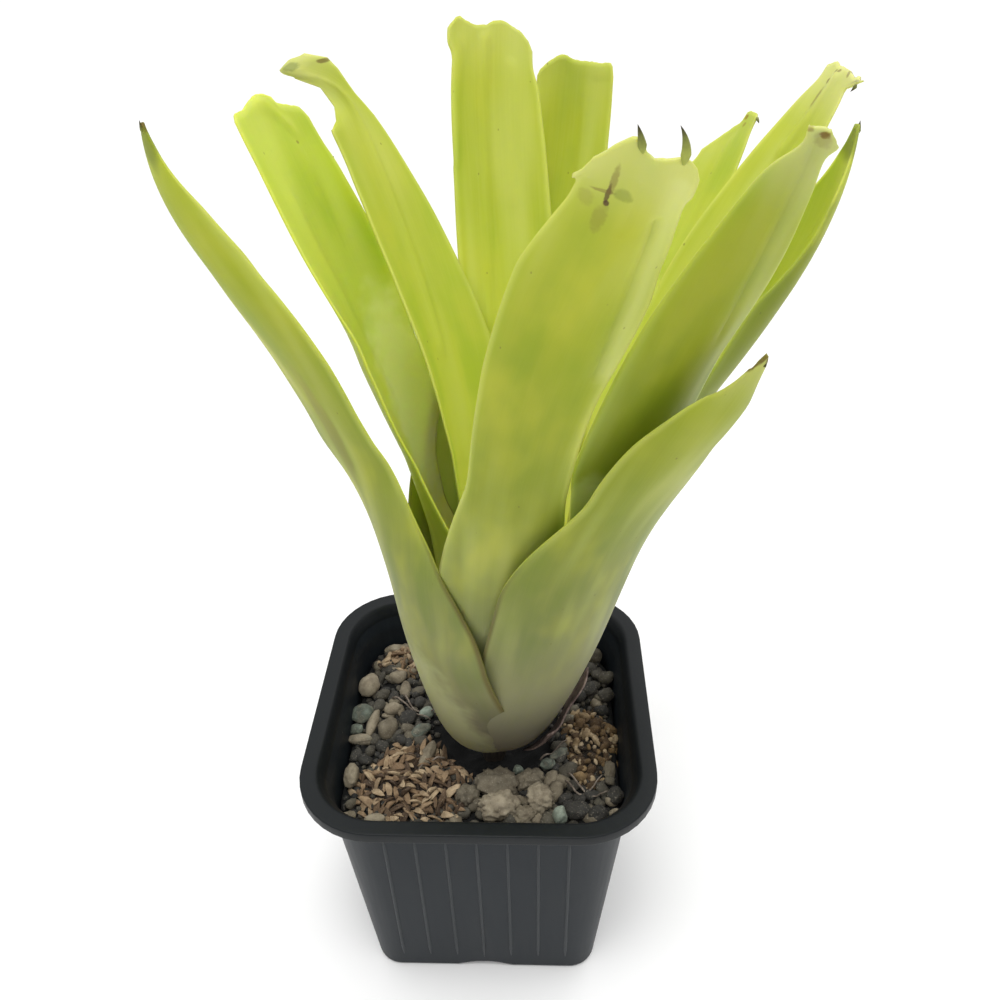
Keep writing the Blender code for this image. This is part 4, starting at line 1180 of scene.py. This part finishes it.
def near_lines(lines, share, v, width, length):
    """A sum of soft bands, one round each line drawn over the blade: folds and streaks."""
    total = np.zeros(v.shape)
    here = np.stack((share * length, v * width), -1)
    for line, amount, spread in lines:
        line = np.array([(t * length, side * np.interp(t, share[:, 0], width[:, 0])) for t, side in line])
        away = np.full(v.shape, 1e9)
        for a, b in zip(line, line[1:]):
            along = np.clip((here - a) @ (b - a) / ((b - a) @ (b - a)), 0, 1)
            away = np.minimum(away, np.linalg.norm(here - a - along[..., None] * (b - a), axis=-1))
        total += amount * np.exp(-((away / spread) ** 2))
    return total


def press_depth(leaf, height, v):
    """A sheath's margin lies close on the leaf inside it."""
    if not leaf.press:
        return 0.0
    side, amounts = leaf.press
    return np.interp(height, *zip(*amounts)) * smooth((side * v - 0.3) / 0.7)


def leaf_strip(leaf):
    """A flat grid of points that carry all the leaf tree needs as attributes."""
    rows = leaf_rows(leaf)
    count = len(rows["share"])
    side = np.tile(np.linspace(-1, 1, COLUMNS + 1), (count, 1))
    share, reach, width = (np.repeat(rows[k][:, None], COLUMNS + 1, 1)
                           for k in ("share", "reach", "width"))
    v = side * np.where(side < 0, eased(share, leaf.sides, 1), eased(share, leaf.sides, 1, 2))
    blade_length = reach[-1, 0] - reach[SHEATH_ROWS, 0]
    pushed = near_lines(leaf.folds, share, v, width, blade_length)
    pushed = pushed + press_depth(leaf, rows["line"][:, 2:3], v)
    # The streak bands are painted highlights along the blade.
    streak = near_lines(leaf.streaks, share, v, width, blade_length)
    turn = np.array(Matrix.Rotation(LEAN, 3, "Y"))
    spots = {"line": (rows["line"] @ turn.T + np.array(FOOT)) * MM}
    for key in ("along", "across", "inward"):
        spots[key + "_way"] = rows[key] @ turn.T
    cut = end_cut(leaf, v) * smooth((share - 0.8) / 0.2)
    floats = {"side": side, "streak": streak, "share": share, "along_mm": reach, "across_mm": v * width,
              "from_end": reach[-1, 0] - reach, "cut": cut * MM, "fold": pushed * MM, "place_across": v,
              "around": np.repeat(rows["around"][:, None], COLUMNS + 1, 1) * MM}
    mesh = bpy.data.meshes.new(leaf.name)
    index = np.arange(count * (COLUMNS + 1)).reshape(count, COLUMNS + 1)
    quads = np.stack((index[:-1, :-1], index[:-1, 1:], index[1:, 1:], index[1:, :-1]), -1).reshape(-1, 4)
    flat = np.stack((v * width * MM, reach * MM, reach * 0), -1).reshape(-1, 3)
    mesh.from_pydata(flat.tolist(), [], quads.tolist())
    for key, values in floats.items():
        mesh.attributes.new(key, "FLOAT", "POINT").data.foreach_set("value", values.ravel())
    for key, values in spots.items():
        data = np.repeat(values[:, None, :], COLUMNS + 1, 1).astype(np.float32).ravel()
        mesh.attributes.new(key, "FLOAT_VECTOR", "POINT").data.foreach_set("vector", data)
    strip = place_piece(leaf.name + "_blade", mesh)
    thin = strip.vertex_groups.new(name="thick")
    weight = (1 - 0.68 * np.abs(side) ** 3) * (1 - 0.35 * smooth((share - 0.75) / 0.25))
    for i, value in enumerate(weight.ravel()):
        thin.add([i], float(value), "REPLACE")
    return strip


print("strips are", COLUMNS, "faces wide")

# %% [markdown]
# ## Rolling the strip
# The tree reads the attributes and rolls each row about its middle line: a point at angle
# `a` sits at line + r(1 - cos a) inward + r sin a across. The direction sin a across - cos a
# inward points straight out of the surface there. Ripples and folds push along it.

# %% Leaf tree
def leaf_tree():
    bench, given = shape_tree("roll_leaf", [
        ("Ripple Height", "Float", 0.4 * MM), ("Ripple Length", "Float", 16.0), ("Seed", "Float", 0.0),
        ("Edge Wear", "Float", 0.3 * MM), ("Material", "Material", None)])

    def spot(name, kind="FLOAT"):
        return bench.add("GeometryNodeInputNamedAttribute", {"data_type": kind}, {"Name": name})

    side, share, around = spot("side"), spot("share"), spot("around")
    inward, across, along = (spot(w + "_way", "FLOAT_VECTOR") for w in ("inward", "across", "along"))
    angle = spot("across_mm") * MM / around
    sine, cosine = bench.maths("SINE", angle), bench.maths("COSINE", angle)
    outward = across * sine - inward * cosine
    flat = bench.vector(spot("across_mm"), spot("along_mm") * 0.6, given["Seed"] * 9.0)
    ripple = bench.noise(flat * (1.0 / given["Ripple Length"]), 1.0, 1.5) - 0.5
    loose = bench.step(share, 0.05, 0.5) * (0.35 + side * side * 0.65)
    wear = bench.noise(bench.vector(spot("across_mm") * 1.4, 0.0, given["Seed"]), 1.0, 2.0) - 0.35
    cut = spot("cut") + wear * given["Edge Wear"] * bench.step(share, 0.93, 1.0) * 2.0
    place = (spot("line", "FLOAT_VECTOR") + inward * (around * (1 - cosine)) + across * (around * sine)
             - along * cut + outward * (ripple * given["Ripple Height"] * loose * 3.0 - spot("fold")))
    rolled = bench.add("GeometryNodeSetPosition", None, {"Geometry": given["Geometry"], "Position": place})
    rolled = bench.add("GeometryNodeSetShadeSmooth", None, {"Geometry": rolled, "Shade Smooth": True})
    return end_tree(bench, rolled, given["Material"])


ROLL_LEAF = leaf_tree()


SKIN_THICKNESS, THINNEST = 0.9, 0.2


def make_leaf(leaf, material, seed):
    strip = leaf_strip(leaf)
    run_tree(strip, ROLL_LEAF, {"Seed": float(seed), "Material": material,
                                "Ripple Height": (0.32 if leaf.nest > 1 else 0.4) * MM})
    skin = strip.modifiers.new("thickness", "SOLIDIFY")
    skin.thickness, skin.offset = SKIN_THICKNESS * MM, 0.0
    skin.vertex_group, skin.thickness_vertex_group = "thick", THINNEST
    return mark_faces(settle(strip))


def mark_faces(blade):
    """Solidify makes two shells. The one further inward is the leaf's upper face."""
    mesh = blade.data
    half, middle = len(mesh.vertices) // 2, COLUMNS // 2 + (SHEATH_ROWS + 4) * (COLUMNS + 1)
    apart = mesh.vertices[middle].co - mesh.vertices[middle + half].co
    first_is_upper = apart.dot(Vector(mesh.attributes["inward_way"].data[middle].vector)) > 0
    upper = np.repeat([float(first_is_upper), float(not first_is_upper)], half)
    mesh.attributes.new("upper", "FLOAT", "POINT").data.foreach_set("value", upper)
    return blade


print("the leaf tree is ready")

# %% [markdown]
# ## Leaf skin
# A living leaf is not one green. It is buff where the sheath is buried, olive above that and
# yellow-green higher up. The ramps over height also paint shade low down and light higher up,
# the upper face is painted much brighter than the outer face, as painted light that stands in
# for light coming through it, and some leaves carry painted light or painted shade over all or
# part of them. Fine veins run its whole length, the margins carry a painted highlight higher
# up and a thin brown line low down, pale painted highlights run along some bands, and there are
# a few brown specks. The attributes give a point's place on its own leaf, so the veins follow
# every bend. Light that enters the leaf and comes out beside or behind is subsurface
# scattering, which makes thin leaves glow.

# %% Leaf finish
# The pale and inner colours are painted light on shaded parts of leaves; the dark green one is real spots
# near the tips and also painted shade on the low part of one leaf.
MARK_COLOURS = {"plum": (0.07, 0.018, 0.02), "brown": (0.20, 0.13, 0.035), "rust": (0.24, 0.10, 0.012),
                "moss_and_painted_shade": (0.13, 0.17, 0.02), "pale": (0.74, 0.76, 0.36), "inner": (0.78, 0.80, 0.36)}


OUTER_COLOUR_AND_SHADE_STOPS = [(0.0, (0.17, 0.115, 0.085)), (0.05, (0.20, 0.145, 0.105)), (0.11, (0.18, 0.15, 0.10)),
               (0.22, (0.28, 0.27, 0.125)), (0.36, (0.25, 0.275, 0.075)), (0.55, (0.30, 0.345, 0.035)),
               (0.80, (0.43, 0.475, 0.025)), (1.0, (0.56, 0.59, 0.05))]
UPPER_COLOUR_AND_LIGHT_STOPS = [(0.0, (0.32, 0.29, 0.14)), (0.2, (0.76, 0.78, 0.24)), (0.4, (0.78, 0.82, 0.17)),
               (0.6, (0.60, 0.66, 0.08)), (0.8, (0.47, 0.53, 0.05)), (1.0, (0.44, 0.48, 0.045))]
LEAF_TOP = 212.0


def leaf_finish(leaf, seed):
    material, bench = new_finish("skin_" + leaf.name)
    across, along, side, from_end = (bench.stored(n) for n in ("across_mm", "along_mm", "side", "from_end"))
    place = bench.place()
    level = bench.add("ShaderNodeSeparateXYZ", None, {0: place}, out=2) * 1000.0
    height = bench.step(level, MIX_TOP, LEAF_TOP, soft=False)
    # The ramps over height are partly the leaf's own colour and partly painted shade low down and painted
    # light higher up; the upper face's ramp is much brighter than the outer face's, as painted light.
    base = bench.ramp(OUTER_COLOUR_AND_SHADE_STOPS, height)
    upper = bench.ramp(UPPER_COLOUR_AND_LIGHT_STOPS, height)
    grown = bench.step(height, 0.12, 0.42)
    vein = bench.noise(bench.vector(across * 2.4, along * 0.045, float(seed)), 1.0, 3.0, 0.65)
    cloud = bench.noise(bench.vector(across * 0.13, along * 0.06, seed + 0.5), 1.0, 2.0)
    band = bench.noise(bench.vector(across * 0.17, along * 0.022, seed + 0.7), 1.0, 1.0)
    colour_with_painted_light = bench.blend(bench.stored("upper"), bench.blend(1.0, base, (0.88, 0.9, 0.95), "MULTIPLY"), upper)
    warm = bench.blend(bench.step(cloud, 0.45, 0.8) * grown * 0.3, colour_with_painted_light, (0.62, 0.60, 0.05))
    lit = bench.blend(bench.step(band, 0.45, 0.8) * grown * 0.3, warm, (0.74, 0.76, 0.24))
    cool = bench.blend(bench.step(cloud * 0.5 + band * 0.5, 0.5, 0.28) * 0.6, lit, (0.70, 0.84, 0.5),
                       "MULTIPLY")
    rim = bench.maths("ABSOLUTE", side)
    drawn = bench.step(vein, 0.35, 0.7) * grown * (0.03 + bench.stored("upper") * 0.05)
    veined = bench.blend(drawn, cool, (0.66, 0.68, 0.16))
    # A pale painted highlight along the margins higher up, and a thin brown line along them low down.
    pale = bench.step(rim, 0.86, 0.99) * bench.step(height, 0.4, 0.6) * 0.35
    brown = bench.step(rim, 0.94, 0.985) * bench.step(height, 0.52, 0.34) * 0.8
    margin = bench.blend(brown, bench.blend(pale, veined, (0.70, 0.72, 0.20)), (0.13, 0.10, 0.03))
    # A pale painted highlight along each streak band.
    with_painted_highlights = bench.blend(bench.stored("streak"), margin, (0.78, 0.80, 0.36))
    tip = bench.blend(bench.step(from_end, 13.0, 0.0) * leaf.pale_tip, with_painted_highlights, (0.74, 0.72, 0.34))
    cell_place = bench.vector(across * 0.45, along * 0.28, seed + 0.3)
    cells = bench.add("ShaderNodeTexVoronoi", None, {"Vector": cell_place, "Scale": 1.0})
    chance = bench.add("ShaderNodeSeparateColor", None, {0: cells.beside("Color")})
    speck = bench.step(cells.beside("Distance"), 0.10, 0.04) * bench.step(chance, 0.80, 0.84)
    colour = bench.blend(speck * 0.55, tip, (0.16, 0.13, 0.03))
    # Pale and inner marks are painted light on shaded parts, inner only on the upper face; the long dark
    # green mark on one leaf is painted shade.
    for mm_back, mm_across, long, wide, strength, shade in leaf.marks:
        wobble = (bench.noise(bench.vector(across, along, 3.0), 1.6 if long < 5 else 0.2, 2.0) - 0.5) * 1.2
        face = bench.stored("upper") if shade == "inner" else 1.0
        away = ((from_end - mm_back) / long) ** 2.0 + ((across - mm_across) / wide) ** 2.0
        inside = bench.step(away + wobble, 1.3, 0.3)
        colour = bench.blend(inside * strength * face, colour, MARK_COLOURS[shade])
    if leaf.bloom:
        powder = bench.step(height, 0.42, 0.16) * (0.6 + vein * 0.5)
        colour = bench.blend(powder * leaf.bloom, colour, (0.46, 0.44, 0.27))
    if leaf.scorch:
        burnt = bench.step(from_end + (vein - 0.5) * 2.0, leaf.scorch * 1.4, 0.1)
        colour = bench.blend(burnt * 0.85, colour, (0.13, 0.075, 0.02))
    # Painted light towards yellow-green, or painted shade towards near black, over the whole leaf.
    if leaf.light:
        shift = (0.85, 0.95, 0.2) if leaf.light > 0 else (0.0, 0.05, 0.0)
        colour = bench.blend(abs(leaf.light), colour, shift)
    bump = bench.bump(0.22, 0.0003, vein * grown * 0.35 + cloud * 0.3)
    end_finish(bench, {"Base Color": colour, "Roughness": 0.42 + vein * 0.16, "Normal": bump,
                       "Subsurface Weight": leaf.glow, "Subsurface Radius": (0.8, 1.0, 0.1),
                       "Subsurface Scale": 0.0016, "Specular IOR Level": 0.2})
    return material


# %% [markdown]
# ## Growing the leaves
# The rule, the tree and the finish are ready, so one loop makes all thirteen.

# %% Grow the leaves
leaves = {}
for seed, leaf in enumerate(LEAVES):
    leaves[leaf.name] = make_leaf(leaf, leaf_finish(leaf, seed), seed)
    tell(leaves[leaf.name])

# %% [markdown]
# ## Thorns
# Aechmea leaves end in a short dark spine, and some blunt ends carry two. A thorn is a thin
# round section swept along a bent line to a point. Its foot is a point of the finished
# leaf, found by row and column, so that it stays on the leaf when the leaf changes.

# %% Thorns
# leaf, share along, place across, length, heading and turn in degrees, foot radius, first tone
THORNS = [
    ("leaf_front", 1.0, 0.05, 2.6, -30, -40, 0.6, 0.0), ("leaf_front", 1.0, 0.6, 4.9, 6, -46, 0.7, -0.5),
    ("leaf_back_right_inner", 1.0, -1.1, 3.2, -82, -10, 0.4, 0.1),
    ("leaf_right_high", 0.99, -2.3, 2.6, -130, -25, 0.4, 0.4),
    ("leaf_right_high", 0.99, -0.05, 1.0, -20, 20, 0.25, 0.4),
    ("leaf_left", 0.985, 0.12, 0.9, 10, 15, 0.22, 0.5), ("leaf_left", 0.985, 0.65, 0.9, 20, 10, 0.22, 0.5),
    ("leaf_left", 0.985, -0.38, 0.8, -10, 10, 0.2, 0.5),
    ("leaf_left", 0.95, -0.97, 0.8, -40, 10, 0.2, 0.5), ("leaf_back", 0.99, 0.86, 1.2, 5, 15, 0.28, 0.2),
    ("leaf_back", 0.99, -0.08, 0.9, -5, 10, 0.2, 0.3),
    ("leaf_back_right", 0.99, 0.45, 0.8, 5, 10, 0.22, 0.1),
    ("leaf_left_back", 0.985, -0.5, 1.2, -30, 20, 0.3, 0.3),
    ("leaf_left_low", 0.99, 0.0, 2.0, 0, 5, 0.35, 0.3), ("leaf_right_low", 0.99, 0.0, 2.2, 0, 5, 0.5, 0.2),
    ("leaf_front_right_low", 0.99, 0.2, 0.8, 0, 5, 0.3, 0.6),
]
THORN_STEPS, THORN_SIDES = 8, 8


def leaf_point(name, share, side):
    """Place, along and across directions on a finished leaf."""
    mesh = leaves[name].data
    row = SHEATH_ROWS + round(share * BLADE_ROWS)
    across_row = mesh.attributes["place_across"].data
    places = [across_row[row * (COLUMNS + 1) + j].value for j in range(COLUMNS + 1)]
    column = min(range(COLUMNS + 1), key=lambda j: abs(places[j] - side))

    def at(i, j):
        return mesh.vertices[min(i, SHEATH_ROWS + BLADE_ROWS) * (COLUMNS + 1) + min(max(j, 0), COLUMNS)].co

    along = (at(row, column) - at(row - 2, column)).normalized()
    across = (at(row, column + 1) - at(row, column - 1)).normalized()
    return at(row, column).copy(), along, across


def swept(points, radii, sides):
    """Rings of points round a line that keep the same turn all the way."""
    rings = []
    side_way = None
    for i, point in enumerate(points):
        ahead = (points[min(i + 1, len(points) - 1)] - points[max(i - 1, 0)]).normalized()
        if side_way is None:
            side_way = ahead.orthogonal().normalized()
        else:
            side_way = (side_way - side_way.dot(ahead) * ahead).normalized()
        other = ahead.cross(side_way)
        turns = [k * math.tau / sides for k in range(sides)]
        rings.append([point + radii[i] * (side_way * math.cos(a) + other * math.sin(a)) for a in turns])
    return rings


def make_thorns(material):
    parts = []
    for name, share, side, length, heading, turn, radius, first_tone in THORNS:
        foot, along, across = leaf_point(name, share, side)
        points, radii = [foot - along * 0.6 * MM], []
        for i in range(THORN_STEPS + 1):
            t = i / THORN_STEPS
            way = math.radians(heading + turn * t)
            ahead = along * math.cos(way) + across * math.sin(way)
            points.append(points[-1] + ahead * (length * MM / THORN_STEPS))
            radii.append(radius * MM * max(0.04, min(1.0, 0.3 + 3.0 * t) * (1 - t**1.4) ** 0.9))
        points.pop()
        mesh = loft(swept(points, radii, THORN_SIDES), "thorn")
        tones = np.repeat(np.linspace(first_tone, 1, THORN_STEPS + 1), THORN_SIDES)
        mesh.attributes.new("tone", "FLOAT", "POINT").data.foreach_set("value", tones)
        parts.append(place_piece("thorn", mesh, [material]))
    return join("leaf_thorns", parts)


def thorn_finish():
    material, bench = new_finish("thorn_dark")
    tone = bench.stored("tone")
    place = bench.place()
    grain = bench.noise(place, 1800.0, 2.0)
    stops = [(0.0, (0.38, 0.42, 0.08)), (0.5, (0.20, 0.22, 0.05)), (0.8, (0.08, 0.075, 0.025)),
             (1.0, (0.035, 0.028, 0.012))]
    ramp = bench.ramp(stops, tone + (grain - 0.5) * 0.3)
    end_finish(bench, {"Base Color": ramp, "Roughness": 0.45 + grain * 0.1, "Specular IOR Level": 0.2})
    return material


thorn_dark = thorn_finish()
thorns = make_thorns(thorn_dark)
tell(thorns)

# %% [markdown]
# ## Roots and a dry scale
# Thin old roots lie on the mix, and one papery brown scale still clings to the foot of the
# rosette on the right. Roots are swept lines that follow the ground. The scale is a small
# patch of the rosette's own outer profile, pushed out by a millimetre or so, more where its
# free side lifts.

# %% Roots and scale
ROOTS = [[(-24, 10), (-20, 7.5), (-17, 4.5), (-13.5, 2.5)],
         [(-21, 11), (-18.5, 6), (-14, 5), (-11.5, 6)],
         [(20, -16), (23, -20.5), (26, -18.5), (28.5, -15)],
         [(20.5, -14), (24, -19), (27, -21), (30, -19)],
         [(14, -9), (17.5, -6.5), (20.5, -4)], [(-9, -9), (-13, -11), (-15, -14)]]
ROOT_POINTS, ROOT_SIDES, ROOT_RISE = 22, 6, 1.9
SCALE_COLUMNS, SCALE_ROWS = 14, 11


def make_roots(material):
    parts = []
    for i, route in enumerate(ROOTS):
        spots = np.array(route, float)
        t = np.linspace(0, len(spots) - 1, ROOT_POINTS)
        x, y = (np.interp(t, range(len(spots)), spots[:, k]) for k in range(2))
        for _ in range(3):
            x[1:-1], y[1:-1] = ((a[:-2] + 2 * a[1:-1] + a[2:]) / 4 for a in (x, y))
        last = ROOT_POINTS - 1
        waves = [0.5 * math.sin(3.0 * k / last * math.pi) for k in range(ROOT_POINTS)]
        points = [Vector((a, b, mix_height(a, b) + ROOT_RISE + wave)) * MM
                  for a, b, wave in zip(x, y, waves)]
        radii = [(0.26 - 0.12 * k / last) * MM for k in range(ROOT_POINTS)]
        parts.append(place_piece("root", loft(swept(points, radii, ROOT_SIDES), "root"), [material]))
    return join("root_strands", parts)


def make_scale(material):
    azimuths = np.radians(np.linspace(-46, 4, SCALE_COLUMNS + 1))
    heights = np.linspace(3.5, 15, SCALE_ROWS + 1)
    rings = []
    for shift in (1.0, 0.55):
        grid = []
        for i, h in enumerate(heights):
            row = []
            for j, a in enumerate(azimuths):
                t = j / SCALE_COLUMNS
                reach = h + 9 * t ** 1.5
                flap = 0.5 * math.sin(t * math.pi * 3) * (i / SCALE_ROWS) + 0.8 * t ** 3
                r = float(profile_radius(reach)) + shift + flap
                p = Matrix.Rotation(LEAN, 3, "Y") @ Vector((r * math.cos(a), r * math.sin(a), reach)) + FOOT
                row.append(p * MM)
            grid.append(row)
        rings.append(grid)
    outer, inner = rings
    bm = bmesh.new()
    a, b = ([[bm.verts.new(p) for p in row] for row in grid] for grid in (outer, inner))
    for i in range(SCALE_ROWS):
        for j in range(SCALE_COLUMNS):
            bm.faces.new((a[i][j], a[i][j + 1], a[i + 1][j + 1], a[i + 1][j]))
            bm.faces.new((b[i][j], b[i + 1][j], b[i + 1][j + 1], b[i][j + 1]))
    rim = [(0, j) for j in range(SCALE_COLUMNS + 1)]
    rim += [(i, SCALE_COLUMNS) for i in range(1, SCALE_ROWS + 1)]
    rim += [(SCALE_ROWS, j) for j in range(SCALE_COLUMNS - 1, -1, -1)]
    rim += [(i, 0) for i in range(SCALE_ROWS - 1, 0, -1)]
    for (i, j), (k, m) in zip(rim, rim[1:] + rim[:1]):
        bm.faces.new((a[i][j], b[i][j], b[k][m], a[k][m]))
    bmesh.ops.recalc_face_normals(bm, faces=bm.faces[:])
    return place_piece("dry_scale", smooth_mesh(bm, "dry_scale"), [material])


def dry_finish(name, dark, pale):
    material, bench = new_finish(name)
    place = bench.place()
    x, y, z = bench.axes(place)
    fibre = bench.noise(bench.vector(x * 1500.0, y * 1500.0, z * 160.0), 1.0, 3.0)
    patch = bench.noise(place, 260.0, 2.0)
    bump = bench.bump(0.4, 0.0003, fibre)
    colour = bench.blend(bench.step(fibre * 0.5 + patch * 0.5, 0.35, 0.68), dark, pale)
    end_finish(bench, {"Base Color": colour, "Roughness": 0.62 + fibre * 0.2, "Normal": bump})
    return material


roots = make_roots(dry_finish("root_dry", (0.10, 0.075, 0.055), (0.30, 0.25, 0.2)))
scale = make_scale(dry_finish("scale_papery", (0.10, 0.065, 0.055), (0.30, 0.225, 0.19)))
# The stem stands in the hollow at the foot; its near-black finish is painted shade.
stem_dark = dry_finish("stem_dark", (0.02, 0.015, 0.011), (0.06, 0.045, 0.03))
frame["nodes"]["rosette_stem"].data.materials[0] = stem_dark
tell(roots)
tell(scale)

# %% [markdown]
# ## Who rides on what
# The part has one body. Each piece rides on it, and the solid of the model that it stands
# for is hidden. The table also lists a material slot of the record beside each piece.

# %% Hand over
slots = {m["slot"] for m in frame["record"]["materials"]}
print("slots:", sorted(slots))
STANDS_FOR = [(pot, "nursery_pot", "black_plastic"), (mix, "potting_mix", "mix_brown"),
              (husks_front, "husk_clump_front", "husk_tan"), (husks_back, "husk_clump_back", "husk_tan"),
              (pebbles, "pebbles_left", "pebble_tan"), (lumps, "pale_lumps_front", "lump_pale"),
              (barks, "bark_clump_right", "bark_brown")]
STANDS_FOR += [(thing, name, "leaf_green") for name, thing in leaves.items()]
for thing, node, slot in STANDS_FOR:
    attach(thing, "root")
    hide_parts(node)
for thing, slot in ((ribs, "black_plastic"), (grit, "pebble_tan"), (loose, "pebble_tan"), (roots, "stem_tan"),
                    (scale, "stem_tan"), (thorns, "leaf_green")):
    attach(thing, "root")
